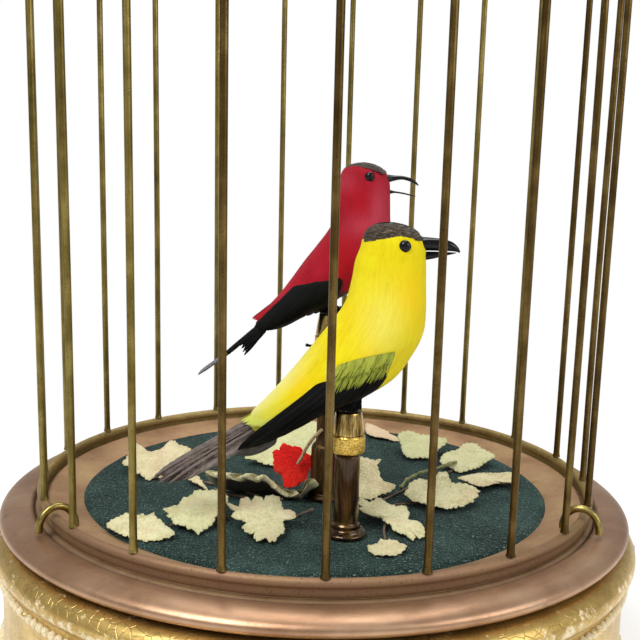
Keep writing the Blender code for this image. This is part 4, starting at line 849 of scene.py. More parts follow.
def skin(where, angle, lift=0.0):
    """A point of the body in mm: on the ellipse between breast and back, angle 0 at the breast."""
    rows = smooth_rows(SLICES, where)
    middle = (rows[..., :2] + rows[..., 2:4]) / 2
    reach = (rows[..., :2] - rows[..., 2:4]) / 2
    long = np.maximum(np.linalg.norm(reach, axis=-1), 1e-6)
    flat = middle + reach * ((1 + lift / long) * np.cos(angle))[..., None]
    return np.stack([flat[..., 0], -(rows[..., 4] + lift) * np.sin(angle), flat[..., 1]], -1)


# The depth map: its cells in a millimetre, its size in cells, how far it starts behind x = 0 in mm, how many
# cells it fades over off the outline, and how often it is evened out
MAP_FINE = 4
MAP_SIZE = (400, 300)
MAP_X = 60
FADE_CELLS = 90
EVENING_ROUNDS = 6
# How many slivers a cap and fibres a cuff have
CAP_SLIVERS = 900
CUFF_FIBRES = 620


def around(grid):
    """The grid moved by one cell to each of its four sides."""
    return [np.roll(grid, step, axis) for axis in (0, 1) for step in (1, -1)]


def depth_map():
    """How far the flank stands out at each (x, z), on a grid of quarter mm, fading off the outline."""
    where, angle = np.meshgrid(np.linspace(0, 14, 1500), np.linspace(0, math.pi, 360), indexing="ij")
    p = skin(where, angle)
    grid = np.full(MAP_SIZE, -1.0)
    i = np.round((p[..., 0] + MAP_X) * MAP_FINE).astype(int)
    j = np.round(p[..., 2] * MAP_FINE).astype(int)
    np.maximum.at(grid, (i.ravel(), j.ravel()), -p[..., 1].ravel())
    for _ in range(FADE_CELLS):
        near = np.maximum(grid, np.max(around(grid), axis=0) - 0.12)
        grid = np.where(grid < 0, near, grid)
    grid = np.maximum(grid, 0.7)
    for _ in range(EVENING_ROUNDS):
        grid = (2 * grid + sum(around(grid))) / 6
    return grid


DEPTH = depth_map()


def flank(x, z):
    """The depth map read between its cells."""
    i = np.clip((x + MAP_X) * MAP_FINE, 0, MAP_SIZE[0] - 1.1)
    j = np.clip(z * MAP_FINE, 0, MAP_SIZE[1] - 1.1)
    a, b = i.astype(int), j.astype(int)
    s, t = i - a, j - b
    low = DEPTH[a, b] * (1 - s) + DEPTH[a + 1, b] * s
    high = DEPTH[a, b + 1] * (1 - s) + DEPTH[a + 1, b + 1] * s
    return low * (1 - t) + high * t


def feathers(rows, sides=8, count=14, thick=0.10, jag=0.0, tip=0.0):
    """Blades laid on the flank.

    Each row is start x, start z, end x, end z, half width, bow, lift at the start and at the end, all in mm.
    The spine is a parabola from start to end; each ring goes cos to the sides and sin to the thickness,
    and every point takes its depth from the depth map, so that the blade follows the body.
    """
    rows = np.asarray(rows, float)
    t = np.linspace(0, 1, count)
    start, end = rows[:, None, 0:2], rows[:, None, 2:4]
    half, bow, lift_a, lift_b = (rows[:, 4 + k, None] for k in range(4))
    run = end - start
    across = unit(np.stack([-run[..., 1], run[..., 0]], -1))
    spine = start + run * t[None, :, None] + across * (bow * 4 * t * (1 - t))[..., None]
    width = half * np.clip(t / 0.12, 0.02, 1) ** 0.5 * np.clip(1 - t**4, 0.0, 1) ** 0.6
    width = width * (1 - tip * t) + 0.03
    phase = np.arange(len(rows))[:, None] * 2.4
    width = width * (1 - jag * (0.5 + 0.5 * np.sin(t * 61 + phase)) * t)
    a = turns(sides)
    flat = spine[:, :, None, :] + across[:, :, None, :] * (width[..., None] * np.cos(a))[..., None]
    lift = lift_a + (lift_b - lift_a) * t**0.7
    depth = flank(flat[..., 0], flat[..., 1]) + lift[..., None] + thick * (np.sin(a) - 0.5 * np.cos(a) ** 2)
    values = {
        "along": np.broadcast_to(t[None, :, None], depth.shape),
        "across": 0.1 * width[..., None] * np.cos(a),
        "tone": np.broadcast_to(random.random(len(rows))[:, None, None], depth.shape),
        "ends": np.broadcast_to((t**3)[None, :, None], depth.shape),
    }
    return np.stack([flat[..., 0], -depth, flat[..., 1]], -1), values


def plant(shape, bird, mirror, rows, **drawn):
    """Adds feathers on one flank."""
    points, values = feathers(rows, **drawn)
    shape.tube(bird.world(points, mirror), **values)
    return shape


def between(starts, ends, count, width, bow=0.0, lift=(0.2, 0.3), spread=0.0):
    """Rows for feathers whose starts and ends run evenly along two lines of points."""
    a, b = smooth_path(starts, count), smooth_path(ends, count)
    n = np.arange(count)
    extra = spread * random.normal(0, 1, (count, 2))
    lifts = np.stack([lift[0] + 0 * n, lift[1] + 0.04 * (n % 3)], -1)
    half = np.interp(n, np.linspace(0, count - 1, np.size(width)), np.ravel(width))[:, None]
    return np.concatenate([a, b + extra, half, np.full((count, 1), bow), lifts], -1)


def bird_skin(bird, where, angle, lift=0.0):
    """The body in mm: the yellow bird's rump is fuller, the red one's nape, throat and belly slimmer."""
    p = skin(where, angle, lift)
    x, z = p[..., 0], p[..., 2]
    if bird is YELLOW:
        back = grow(np.pi - np.abs(angle - np.pi), 1.9, 1.2)
        fuller = 0.525 * back * grow(where, 8, 2) * grow(where, 13.5, -1.5)
        x -= fuller
        z += fuller
    else:
        x -= 1.1 * grow(z, 50, 8) * grow(x, 13, -4)
        x -= 1.15 * grow(z, 34, 14) * grow(x, 8, 12) + 2.4 * grow(z, 37, -6) * grow(x, 3, 8)
    return p


def spot(p, x, z, wide, tall):
    """A soft round patch about (x, z)."""
    return np.exp(-(((p[..., 0] - x) / wide) ** 2) - ((p[..., 2] - z) / tall) ** 2)


def body(bird):
    """Head, body and rump in one surface, drawn in at the rump, with streaks that run from crown to tail."""
    where = np.concatenate([np.linspace(0, 1, 14)[:-1] ** 1.4, np.linspace(1, 12.5, 150)])
    w, a = np.meshgrid(where, turns(96), indexing="ij")
    p = bird_skin(bird, w, a, -1.3 * grow(w, 11.6, 0.9) ** 2)
    side = np.where(a > np.pi, 2 * np.pi - a, a)
    if bird is YELLOW:
        under = 0.85
        throat = spot(p, 19.5, 52.5, 3.5, 6)
        # Painted highlights along the back's edge and on the chest.
        pale = grow(side, 2.35, 0.7) * grow(w, 7.5, 2) + 0.35 * spot(p, 13.5, 46, 4.5, 7)
    else:
        under = 1.35
        throat = spot(p, 13.0, 57, 3.5, 4) + spot(p, 9, 40, 3.5, 5)
        # Painted highlights on the neck, breast and nape.
        pale = 0.7 * spot(p, 18.5, 55, 2.5, 6) + 0.5 * spot(p, 14, 50, 5, 3) + 0.4 * spot(p, 9, 62, 3, 3)
    dark = grow(side, under, -0.2) * grow(w, 9.2, 0.4)
    ends = grow(w, 10.2, 2.6) * grow(side, 1.2, 1.2)
    barbs = {"along": w / 3, "across": 0.8 * side, "tone": 0.5}
    return Surfaces().tube(bird.world(p), dark=dark, ends=ends, pale=pale, throat=throat, **barbs)


def rump_feathers(bird, shape, starts, ends, count):
    """Pointed feathers that carry the body's colour over the root of the tail, on both sides."""
    rows = between(starts, ends, count, 0.6, 0.1, (-0.35, 0.04), 0.08)
    for _, mirror in SIDES:
        points, values = feathers(rows, thick=0.07, tip=0.5)
        values["tone"] = 0.4 + 0.2 * values["tone"]
        values["ends"] = 0.25 + 0.75 * values["along"]
        shape.tube(bird.world(points, mirror), **values)


def smooth_loft(bird, table, sides, count):
    """Rings through slices: the cosine goes between the two points, the sine across the half width."""
    rows = smooth_rows(table, np.linspace(0, len(table) - 1, count))
    a = turns(sides)
    middle = (rows[:, None, :2] + rows[:, None, 2:4]) / 2
    reach = (rows[:, None, :2] - rows[:, None, 2:4]) / 2
    flat = middle + reach * np.cos(a)[None, :, None]
    return bird.world(np.stack([flat[..., 0], -rows[:, None, 4] * np.sin(a), flat[..., 1]], -1))


def head(bird, upper, eye):
    """Upper beak and eyes. An eye is its place in x and z, and its radius."""
    horn = glossy_horn(bird.name + "_beak_horn")
    shape = Surfaces().tube(smooth_loft(bird, upper, 28, 40))
    shape.put(bird.name + "_beak_upper", horn, bird.name + "_bird", "beak_horn")
    bead = glossy_horn(bird.name + "_eye_glass", (0.004, 0.004, 0.005), 0.04)
    x, z, radius = eye
    middle = np.array([x, -(flank(np.array(x), np.array(z)) - 0.2 * radius), z])
    for side, mirror in SIDES:
        shape = Surfaces().tube(bird.world(middle + radius * ball(1.53, 20, 32, 0.75), mirror))
        shape.put(f"{bird.name}_eye_{side}", bead, bird.name + "_bird", "beak_horn")
    return horn


def lower_beak(bird, table, horn):
    node = bird.name + "_beak_lower"
    shape = Surfaces().tube(smooth_loft(bird, table, 24, 30))
    shape.put(node + "_horn", horn, bird.name + "_beak", "beak_horn", node)


def cap_feathers(bird, finish, line):
    """Short dark slivers combed back over the crown, down to a line of (x, z) points over the eye.

    Under them lies the body's own surface, 0.01 mm out, which sinks by 0.5 mm below that line.
    """
    lx, lz = np.asarray(line, float).T
    w = 2.75 * random.random(CAP_SLIVERS) ** 0.7
    a = random.uniform(0.10, 0.84, CAP_SLIVERS) * np.pi
    p = bird_skin(bird, w, a)
    keep = (p[:, 2] > np.interp(p[:, 0], lx, lz) + 0.25) & (p[:, 0] < lx[-2]) & (p[:, 0] > lx[1] + 0.6)
    x, z = p[keep, 0], p[keep, 2]
    length = random.uniform(1.0, 1.8, keep.sum())
    fall = 0.10 + 0.5 * grow(x, 13, -6)
    rows = np.stack([
        x + 0.35 * length, z + 0.1, x - 0.65 * length, z - fall * length,
        0.24 + 0 * x, 0 * x, -0.08 + 0 * x, 0.02 + 0.06 * random.random(len(x)),
    ], -1)
    shape = Surfaces()
    for _, mirror in SIDES:
        plant(shape, bird, mirror, rows, sides=5, count=5, thick=0.06, tip=0.5)
    w, a = np.meshgrid(np.linspace(0.0, 2.9, 44), turns(90), indexing="ij")
    q = bird_skin(bird, w, a)
    under = grow(q[..., 2], np.interp(q[..., 0], lx, lz) + 0.1, -0.25)
    q = bird_skin(bird, w, a, 0.01 - 0.5 * under)
    shape.tube(bird.world(q), along=w / 3, across=0.5 * np.abs(np.sin(a)), tone=0.4)
    shape.put(bird.name + "_cap", finish, bird.name + "_bird", bird.name + "_feathers")


def cuff(bird):
    """The black fuzzy collar between bird and ferrule: a soft core under a few hundred short fibres.

    A fibre starts at an angle and height of its own and falls evenly, at r times 1 + 0.10 sin 1.5 t.
    """
    low, tall = bird.ferrule_z, bird.cuff_tall
    post = (bird.post_x - bird.crown[0]) / (MM * bird.scale) + HEAD_TOP[0]
    r = 2.6 / bird.scale
    shoulder = r * (0.4 + 0.7 * tall)
    outline = [(0.2, 0), (r, 0.1), (r * 1.02, 0.7), (r * 0.97, 2.0), (shoulder, 4.2), (0.2, 5.0)]
    profile = np.array(outline) * (1, tall) + (0, low)
    p = turned(eased(profile, 2, closed=False), 64)
    a = turns(64)
    p[..., :2] *= (1 + 0.02 * np.sin(7 * a) + 0.02 * np.sin(19 * a + 1))[:, None]
    shape = Surfaces().tube(bird.world(p + (post, 0, 0)), across=a / 3, along=0.0, tone=0.5)
    each = (CUFF_FIBRES, 1)
    turn = random.uniform(0, 2 * np.pi, each)
    height = low + tall * random.uniform(0.5, 4.4, each)
    fall = random.uniform(0.5, 1.2, each)
    swing = random.normal(0, 0.12, each)
    t = np.linspace(0, 1, 4)
    out = r * (1.0 + 0.10 * np.sin(1.5 * t))
    angle = turn + swing * t
    away = np.stack([np.cos(angle), np.sin(angle), 0 * angle], -1)
    side = np.stack([-np.sin(angle), np.cos(angle), 0 * angle], -1)
    line = out[:, None] * away
    line[..., 0] += post
    line[..., 2] = np.maximum(height - fall * t, low - 0.25)
    ring = turns(3)[:, None]
    thin = (0.09 * (1.1 - t))[:, None, None]
    fibres = line[:, :, None] + thin * (side[:, :, None] * np.cos(ring) + away[:, :, None] * np.sin(ring))
    shape.tube(bird.world(fibres), along=t[:, None], across=0.5, tone=random.random((*each, 1)))
    fuzz = black_plumage(bird.name + "_cuff_fuzz")
    shape.put(bird.name + "_cuff", fuzz, bird.name + "_bird", bird.name + "_feathers")


def tail_feathers(bird, starts, ends, count, width, jag=0.0):
    """Long narrow blades from the rump, side by side on both slopes of a low ridge, split at their tips.

    Each is straight. Its half width grows with the root of t and falls with the root of 1 - t**9, less a nick
    near the tip that waves with sin 75 t.
    """
    shape = Surfaces()
    t = np.linspace(0, 1, 30)
    a = turns(8)
    n = np.arange(count)
    first, last = smooth_path(starts, count), smooth_path(ends, count)
    share = np.linspace(0, 1, count)
    run = (last - first) * (1 - jag * np.clip(np.sin(1.75 * n + 0.4), 0, 1))[:, None]
    spine = first[:, None] + run[:, None] * t[None, :, None]
    across = unit(np.stack([-run[:, 1], run[:, 0]], -1))
    depth = (0.3 + 1.9 * share)[:, None] * (0.7 + 0.4 * t) + 0.12 * (n % 2)[:, None]
    nick = 1 - 0.6 * grow(t, 0.72, 0.28) * (0.5 + 0.5 * np.sin(75 * t + 2.4 * n[:, None]))
    half = width * np.clip(t / 0.1, 0.1, 1) ** 0.5 * np.clip(1 - t**9, 0, 1) ** 0.5 * nick
    flat = spine[:, :, None, :] + across[:, None, None, :] * (half[:, :, None] * np.cos(a))[..., None]
    y = -(depth[..., None] + 0.13 * np.sin(a) - 0.25 * half[:, :, None] * np.cos(a))
    p = np.stack([flat[..., 0], y, flat[..., 1]], -1)
    tone = random.random(count)[:, None, None]
    barbs = 0.1 * width * np.cos(a) + share[:, None, None] * 4
    for _, mirror in SIDES:
        shape.tube(bird.world(p, mirror), along=t[:, None] * 3, across=barbs, tone=tone)
    return shape


def yellow_bird():
    bird = YELLOW
    gold = plumage("yellow_plumage", (
        (0.28, (0.54, 0.35, 0.002)), (0.43, (0.68, 0.54, 0.002)), (0.58, (0.75, 0.65, 0.008)),
        (0.80, (0.78, 0.74, 0.17)),
    ), ends=(0.45, 0.50, 0.10), streak=0.40, sheen=0.02, shine=0.12, patch=(0.80, 0.50, 0.002))
    shape = body(bird)
    rump_feathers(
        bird, shape, [(-7.2, 27.8), (-5.8, 26.6), (-4.6, 25.6)],
        [(-16.8, 22.4), (-15.2, 22.0), (-13.0, 22.2), (-11.4, 22.8)], 20)
    shape.put("yellow_plumage", gold, "yellow_bird", "yellow_feathers", "yellow_body")
    cuff(bird)
    horn = head(bird, YELLOW_UPPER_BEAK, (17.75, 62.5, 1.36))
    cap = plumage("cap_brown", (
        (0.32, (0.009, 0.006, 0.004)), (0.5, (0.042, 0.030, 0.020)), (0.70, (0.16, 0.118, 0.080)),
    ), streak=0.6, shine=0.15)
    cap_feathers(bird, cap, [
        (8.5, 67.0), (8.8, 63.4), (10.2, 63.2), (13.7, 63.9), (17.1, 64.6), (19.9, 64.1), (22.3, 63.1),
        (22.5, 67.0)])
    lower_beak(bird, YELLOW_LOWER_BEAK, horn)
    olive = plumage("olive_wing", (
        (0.3, (0.09, 0.10, 0.012)), (0.42, (0.24, 0.27, 0.028)), (0.60, (0.32, 0.36, 0.045)),
        (0.82, (0.48, 0.49, 0.09)),
    ), streak=0.55, sheen=0.05, shine=0.15)
    black = black_plumage("black_wing")
    grey = plumage("grey_secondary", (
        (0.3, (0.030, 0.026, 0.023)), (0.55, (0.105, 0.093, 0.085)), (0.8, (0.22, 0.20, 0.185)),
    ), streak=0.6)
    long = between(
        [(3.3, 33.9), (7.0, 34.2), (11.0, 34.2), (14.0, 36.6)],
        [(-17.3, 16.3), (-13.4, 16.9), (-8.6, 19.4), (-3.6, 22.9), (3.2, 25.7), (9.4, 29.8)],
        12, (1.75, 1.7, 1.9, 1.9, 1.5), bow=0.5, lift=(-0.1, 0.6))
    lower = between(
        [(4.6, 37.4), (8.0, 38.7), (12.0, 39.7), (16.1, 40.4)],
        [(2.6, 31.9), (5.8, 32.4), (9.2, 33.2), (13.6, 35.0)],
        70, 0.27, bow=0.12, lift=(0.1, 0.85), spread=0.4)
    upper = between(
        [(4.6, 37.5), (8.0, 38.8), (12.0, 39.8), (16.2, 40.4)],
        [(2.6, 34.4), (6.4, 35.0), (10.2, 36.0), (14.6, 37.6)],
        64, 0.36, bow=0.1, lift=(0.15, 0.95), spread=0.3)
    single = [(-8.8, 19.4, -17.4, 14.8, 1.5, 0.6, -0.1, 0.15)]
    for side, mirror in SIDES:
        node = f"yellow_wing_{side}"
        wing = plant(Surfaces(), bird, mirror, long, count=30, thick=0.16)
        wing.put(node + "_black", black, "yellow_bird", "yellow_wing_feathers", node)
        band = plant(Surfaces(), bird, mirror, lower, jag=0.3, tip=0.5)
        plant(band, bird, mirror, upper, jag=0.3, tip=0.5)
        band.put(node + "_olive", olive, "yellow_bird", "yellow_wing_feathers")
        blade = plant(Surfaces(), bird, mirror, single, count=24, thick=0.14)
        blade.put(node + "_grey", grey, "yellow_bird", "yellow_wing_feathers")
    tail = plumage("grey_tail", (
        (0.34, (0.020, 0.014, 0.011)), (0.47, (0.12, 0.092, 0.078)), (0.62, (0.20, 0.165, 0.145)),
        (0.78, (0.31, 0.275, 0.25)),
    ), streak=0.75, sheen=0.0, shine=0.12)
    shape = tail_feathers(
        bird, [(-11.6, 24.2), (-12.0, 19.6)],
        [(-35.9, 9.7), (-36.3, 8.4), (-34.0, 7.6), (-31.0, 8.2), (-27.5, 9.6)], 16, 0.62, jag=0.11)
    shape.put("yellow_tail_plumes", tail, "yellow_tail_body", "yellow_tail_feathers", "yellow_tail")


def red_bird():
    bird = RED
    # Its light colour is the pink of the painted highlights.
    crimson = plumage("crimson_plumage", (
        (0.25, (0.14, 0.001, 0.004)), (0.45, (0.28, 0.002, 0.010)), (0.62, (0.39, 0.006, 0.024)),
        (0.84, (0.50, 0.04, 0.09)),
    ), ends=(0.30, 0.002, 0.010), sheen=0.04, shine=0.15, patch=(0.34, 0.0005, 0.002),
        light=(0.52, 0.07, 0.11))
    shape = body(bird)
    rump_feathers(bird, shape, [(-7.0, 29.2), (-6.0, 27.6)], [(-16.0, 22.5), (-14.0, 22.4)], 9)
    shape.put("red_plumage", crimson, "red_bird", "red_feathers", "red_body")
    cuff(bird)
    horn = head(bird, RED_UPPER_BEAK, (15.7, 63.3, 1.37))
    cap = plumage("cap_dark", (
        (0.3, (0.014, 0.010, 0.008)), (0.5, (0.05, 0.034, 0.028)), (0.72, (0.14, 0.095, 0.085)),
    ), streak=0.5)
    cap_feathers(bird, cap, [
        (8.2, 67.0), (8.5, 65.1), (10.9, 66.0), (14.4, 65.7), (17.9, 64.8), (20.2, 64.0), (20.4, 67.0)])
    lower_beak(bird, RED_LOWER_BEAK, horn)
    black = black_plumage("red_black_wing")
    long = between(
        [(-2.6, 33.2), (2.0, 34.2), (5.0, 35.0), (8.3, 35.9)],
        [(-15.4, 20.4), (-13.4, 19.4), (-9.0, 21.2), (-3.0, 23.4), (1.6, 24.6), (4.6, 26.2)],
        11, (1.1, 1.7, 2.0, 1.8, 1.2), bow=0.3, lift=(-0.1, 0.5))
    for side, mirror in SIDES:
        node = f"red_wing_{side}"
        wing = plant(Surfaces(), bird, mirror, long, count=30, thick=0.16)
        wing.put(node + "_black", black, "red_bird", "red_wing_feathers", node)
    shape = tail_feathers(
        bird, [(-13.8, 21.0), (-12.0, 19.8)],
        [(-25.5, 10.6), (-24.6, 10.7), (-21.4, 13.8), (-19.8, 15.0), (-18.9, 13.8), (-18.1, 12.2),
         (-17.2, 13.8)], 12, 0.46)
    shape.put("red_tail_plumes", black, "red_tail_body", "red_tail_feathers", "red_tail")
    grey = plumage("red_streamer", (
        (0.3, (0.05, 0.05, 0.055)), (0.5, (0.16, 0.155, 0.165)), (0.7, (0.32, 0.31, 0.33)),
    ), streak=0.6)
    shape = tail_feathers(bird, [(-22.5, 12.9), (-22.9, 12.4)], [(-31.4, 6.2), (-31.2, 6.3)], 2, 0.36)
    shape.put("red_tail_streamer", grey, "red_tail_body", "red_tail_feathers")
    line = [(2.6, 0.4, 15.1), (1.4, -0.4, 15.15), (0.4, -0.6, 15.2), (-0.4, -0.6, 15.35)]
    claw = Surfaces().tube(bar(smooth_path(bird.world(line), 24), PIN_R, 10))
    claw.tube(bird.world(np.array(line[-1]) + 0.5 * ball(1.5, 12, 16)))
    claw.put("red_claw_pin", horn, "red_bird", "beak_horn")


def ferrule(bird, finish):
    """The swivelling ferrule: a taper, then a band with rounded edges, over a thin spigot."""
    top = RAIL_Z + bird.crown[1] + (bird.ferrule_z - HEAD_TOP[1]) * MM * bird.scale - 0.0003
    rows = [
        (2.6, 0), (2.9, -0.1), (3.05, -0.8), (3.4, -3.0), (3.7, -5.0), (3.55, -5.3), (3.9, -5.6), (3.9, -9.1),
        (3.7, -9.4), (1.9, -9.4), (1.9, -15.6), (0.9, -15.6), (0.9, 0),
    ]
    profile = eased(np.array(rows) * MM, 2, 0.2)
    under = -profile[:, 1:]
    engraved = (under > FERRULE_BAND_TOP - 0.00005) & (under < FERRULE_BAND_LOW + 0.0001)
    rings = turned(profile + (0, top), 72, (bird.post_x, bird.plane_y))
    node = bird.name + "_ferrule"
    shape = Surfaces().sheet(rings, engraved=engraved.astype(float))
    shape.put(node + "_brass", finish, bird.name + "_bird", "bright_brass", node, sharp=40)
    return top - FERRULE_BAND_LOW - 0.0005


def post(bird, tube_top, finish):
    """The tube and its stepped flange, with a wider sleeve round the foot of the red bird's."""
    felt = FELT_TOP + 0.0003
    top = (tube_top - felt) / MM
    if bird is RED:
        step = 4.2
        foot = [(2.85, 14.1), (3.6, 13.8), (4.1, 12.8), (4.1, 3.0)]
    else:
        step = 3.3
        foot = [(2.85, 3.1), (3.1, 2.8)]
    rows = [
        (2.65, top), (2.85, top - 0.3), *foot, (step, 2.6), (step, 1.7), (step + 0.3, 1.4), (4.2, 1.2),
        (4.8, 0.7), (4.8, 0.1), (4.6, 0), (1.9, 0), (1.9, -4.4), (0.9, -4.4), (0.9, top - 7.4),
        (1.98, top - 7.4), (1.98, top),
    ]
    profile = eased(np.array(rows) * MM + (0, felt), 2, 0.2)
    shape = Surfaces().sheet(turned(profile, 72, (bird.post_x, bird.plane_y)))
    shape.put(bird.name + "_post_tube", finish, "base", "dark_brass", bird.name + "_post", sharp=40)


# Foliage

# Leaves: middle in mm with its height over the felt, tilt toward the front, the stalk's start and bend, and
# the outline as x and y pairs in tenths of a millimetre in the leaf's own plane
LEAVES = {
    "left": (
        ((-38.9, -36.2, 1.0), 4, ((-24, -29.6), (-28, -31.4)),
         (-80, -5, -74, 24, -60, 45, -48, 67, -33, 60, -20, 65, -11, 73, 0, 62, 13, 74, 24, 50, 40,
          32, 49, 17, 64, -5, 80, -41, 72, -59, 58, -63, 48, -70, 32, -66, 22, -74, 5, -64, -2, -68,
          -19, -59, -30, -56, -48, -39, -59, -26)),
        ((-27.6, -31.2, 3.2), 18, ((-14, -24.5), (-18, -26.5)),
         (-73, 0, -58, 11, -40, 23, -34, 42, -15, 53, -7, 70, 11, 75, 30, 80, 48, 84, 66, 71, 73, 45,
          67, 22, 63, -4, 51, -19, 47, -38, 37, -54, 29, -62, 17, -84, 6, -69, -8, -68, -17, -57, -32,
          -58, -45, -46, -47, -33, -61, -21, -60, -10)),
        ((-12.4, -34.8, 2.9), 15, ((-0.3, -20.9), (-5.9, -27.2)),
         (-81, 64, -65, 56, -52, 54, -51, 76, -39, 87, -27, 76, -24, 59, -21, 77, -13, 86, 1, 78, 11,
          54, 7, 80, 16, 89, 38, 86, 47, 61, 53, 38, 70, 35, 81, 19, 80, 3, 67, -3, 54, -7, 58, -32,
          56, -53, 45, -64, 40, -85, 28, -89, 16, -71, 10, -82, -2, -82, -9, -67, -3, -54, -19, -56,
          -34, -42, -36, -29, -25, -17, -38, -11, -60, -4, -64, 16, -59, 29, -71, 43)),
        ((-12.2, -11.9, 3.6), -32, ((-8, -14), (-9, -13.4)),
         (-143, -78, -129, -78, -119, -74, -104, -78, -88, -71, -77, -51, -64, -49, -50, -71, -38,
          -62, -28, -39, -17, -47, -8, -68, 4, -42, 15, -15, 24, -20, 36, -8, 45, -8, 56, -8, 65, -8,
          75, -35, 84, -29, 92, -8, 105, -32, 113, -53, 122, -19, 131, -8, 137, -8, 143, -8, 137, -8,
          127, 8, 87, 52, 27, 78, -53, 72, -113, 38)),
        ((-42.8, 7.4, 3.3), 17, ((-14, -12), (-22, -6)),
         (-88, -14, -81, 11, -79, 40, -70, 67, -51, 65, -35, 42, -23, 39, -6, 48, 11, 59, 21, 87, 36,
          92, 52, 70, 75, 60, 88, 47, 81, 14, 64, -20, 46, -52, 27, -77, 7, -79, -6, -92, -24, -75,
          -42, -66, -58, -41, -73, -34)),
        ((-8.0, 21.1, 4.7), 24, ((-7, -8), (-8, 2)),
         (-115, -64, -100, -34, -78, -8, -47, 8, -31, 42, 2, 56, 35, 78, 70, 101, 100, 91, 115, 49,
          108, -12, 87, -56, 59, -93, 27, -101, -7, -92, -37, -92, -61, -88, -88, -72)),
        ((-30.4, -3.3, 0.7), 5, ((-17, -14), (-20, -12)),
         (-33, 62, -19, 54, -8, 38, 7, 12, 20, -20, 33, -50, 15, -33, -3, -17, -18, 3, -29, 30)),
    ),
    "right": (
        ((13.7, -5.0, 3.7), 22, ((11, -21), (12, -16)),
         (-28, 84, -5, 84, 15, 76, 34, 77, 30, 62, 23, 49, 26, 27, 30, 6, 38, -9, 52, -19, 68, -28,
          60, -42, 53, -51, 42, -57, 25, -63, 18, -74, -2, -84, -20, -81, -39, -67, -56, -41, -68, -6,
          -65, 31, -49, 69)),
        ((31.0, 29.5, 2.8), 17, ((19, 0), (20, 6)),
         (-71, 44, -61, 64, -37, 75, -19, 68, -4, 60, 15, 54, 38, 41, 56, 39, 71, 32, 64, 7, 50, -11,
          38, -29, 23, -53, 6, -66, -14, -67, -34, -75, -51, -72, -61, -52, -64, -27, -65, 3, -71, 24)),
        ((42.2, 19.2, 2.4), 13, ((11, -21), (24, -3)),
         (-79, -31, -67, 5, -44, 34, -22, 46, -1, 72, 17, 82, 35, 82, 48, 58, 65, 35, 79, 5, 67, -12,
          42, -31, 17, -58, -4, -73, -21, -82, -36, -79, -45, -64, -62, -47, -74, -43)),
        ((45.7, 3.0, 1.7), -4, ((25, -5), (27, -4)),
         (-84, -20, -55, 30, -22, 46, 11, 60, 43, 63, 72, 69, 84, 44, 74, -17, 51, -55, 37, -28, 12,
          -33, -14, -64, -39, -69, -66, -48)),
        ((31.7, -11.8, 3.0), 15, ((17, -22), (20, -16)),
         (-94, -8, -84, 10, -81, 27, -65, 41, -50, 46, -33, 40, -16, 50, -6, 72, 6, 83, 20, 82, 24,
          58, 28, 41, 39, 33, 48, 36, 56, 32, 65, 34, 73, 27, 81, 25, 86, 17, 94, 3, 87, -9, 88, -23,
          75, -32, 71, -48, 55, -54, 48, -65, 33, -68, 27, -74, 15, -76, 9, -83, -5, -82, -13, -77,
          -21, -75, -34, -72, -42, -67, -53, -62, -63, -55, -79, -47, -85, -31, -93, -23)),
        ((17.8, -29.4, 2.1), 9, ((11, -21), (12, -22)),
         (-72, 72, -67, 85, -54, 77, -44, 76, -26, 97, -15, 90, -7, 76, 3, 62, 19, 52, 35, 54, 43, 38,
          45, 20, 40, 8, 47, -9, 56, -18, 64, -27, 72, -48, 73, -70, 68, -87, 58, -89, 52, -80, 46,
          -97, 36, -90, 30, -77, 23, -76, 11, -66, 4, -58, 0, -53, 0, -35, -8, -29, -15, -20, -22, -2,
          -31, -3, -46, -1, -59, 10, -67, 23, -73, 39, -64, 45, -73, 57)),
        ((16.0, -45.4, 0.7), 3, ((16.5, -30), (16, -34)),
         (-43, 6, -26, 22, -12, 38, 1, 35, 18, 37, 33, 26, 43, 14, 37, -9, 21, -24, 3, -38, -16, -33,
          -35, -19)),
        ((20.1, 47.4, 1.1), 6, ((17, 10), (17, 20)),
         (-48, 61, -21, 53, -4, 33, 13, 15, 29, -15, 46, -23, 48, -49, 32, -61, 19, -51, 2, -45, -15,
          -37, -45, -10)),
    ),
}
# How far each leaf leans to the blush, above 0, or to green, below 0
HUES = {"left": (0, -0.5, 0, 0, 0.3, -0.9, 0.4), "right": (0.2, -0.8, -0.4, 0.3, 0, 0, 0.2, 1.0)}
RIM_POINTS = 380
# A leaf whose middle is farther back than this hides its stalk
HIDDEN_STALK_Y = 29
# A leaf that leans back by more than this stands up and is folded
FOLDED_DEG = -20
# The green vine behind the right leaves, in mm with its height over the felt
VINE = ((22.0, -4.5, 1.0), (23.6, -1.8, 2.2), (26.0, 2.8, 2.0), (28.6, 5.0, 2.4), (33.1, 10.1, 2.0),
        (38.6, 15.0, 2.4))
# The bloom's outline, like a leaf's, and its stem in mm from the ring's top
BLOOM = (-29, 57, -11, 55, 5, 44, 19, 39, 44, 29, 46, 4, 38, -18, 35, -36, 18, -42, 0, -57, -21, -54, -24,
         -38, -28, -21, -42, -7, -46, 19, -36, 38)
BLOOM_STEM = ((1.4, -13.5, 14.6), (-0.8, -12.5, 12.0), (-2.5, -11.0, 8.9), (-3.4, -10.0, 6.6),
              (-4.5, -9.0, 4.4))
# The bloom's layers: size, turn and how far back
BLOOM_LAYERS = ((1.0, 0.0, 0.0), (0.93, 0.5, 0.9), (0.85, 2.9, 1.7))


def round_outline(numbers, count):
    """A closed smooth line through the corners, which repeat round the ends."""
    corners = np.reshape(numbers, (-1, 2)) / 10
    t = np.linspace(0, len(corners), count, endpoint=False)
    i = t.astype(int)
    a, b, c, d = (np.roll(corners, k, 0)[i] for k in (1, 0, -1, -2))
    return cubic(a, b, c, d, (t - i)[:, None])


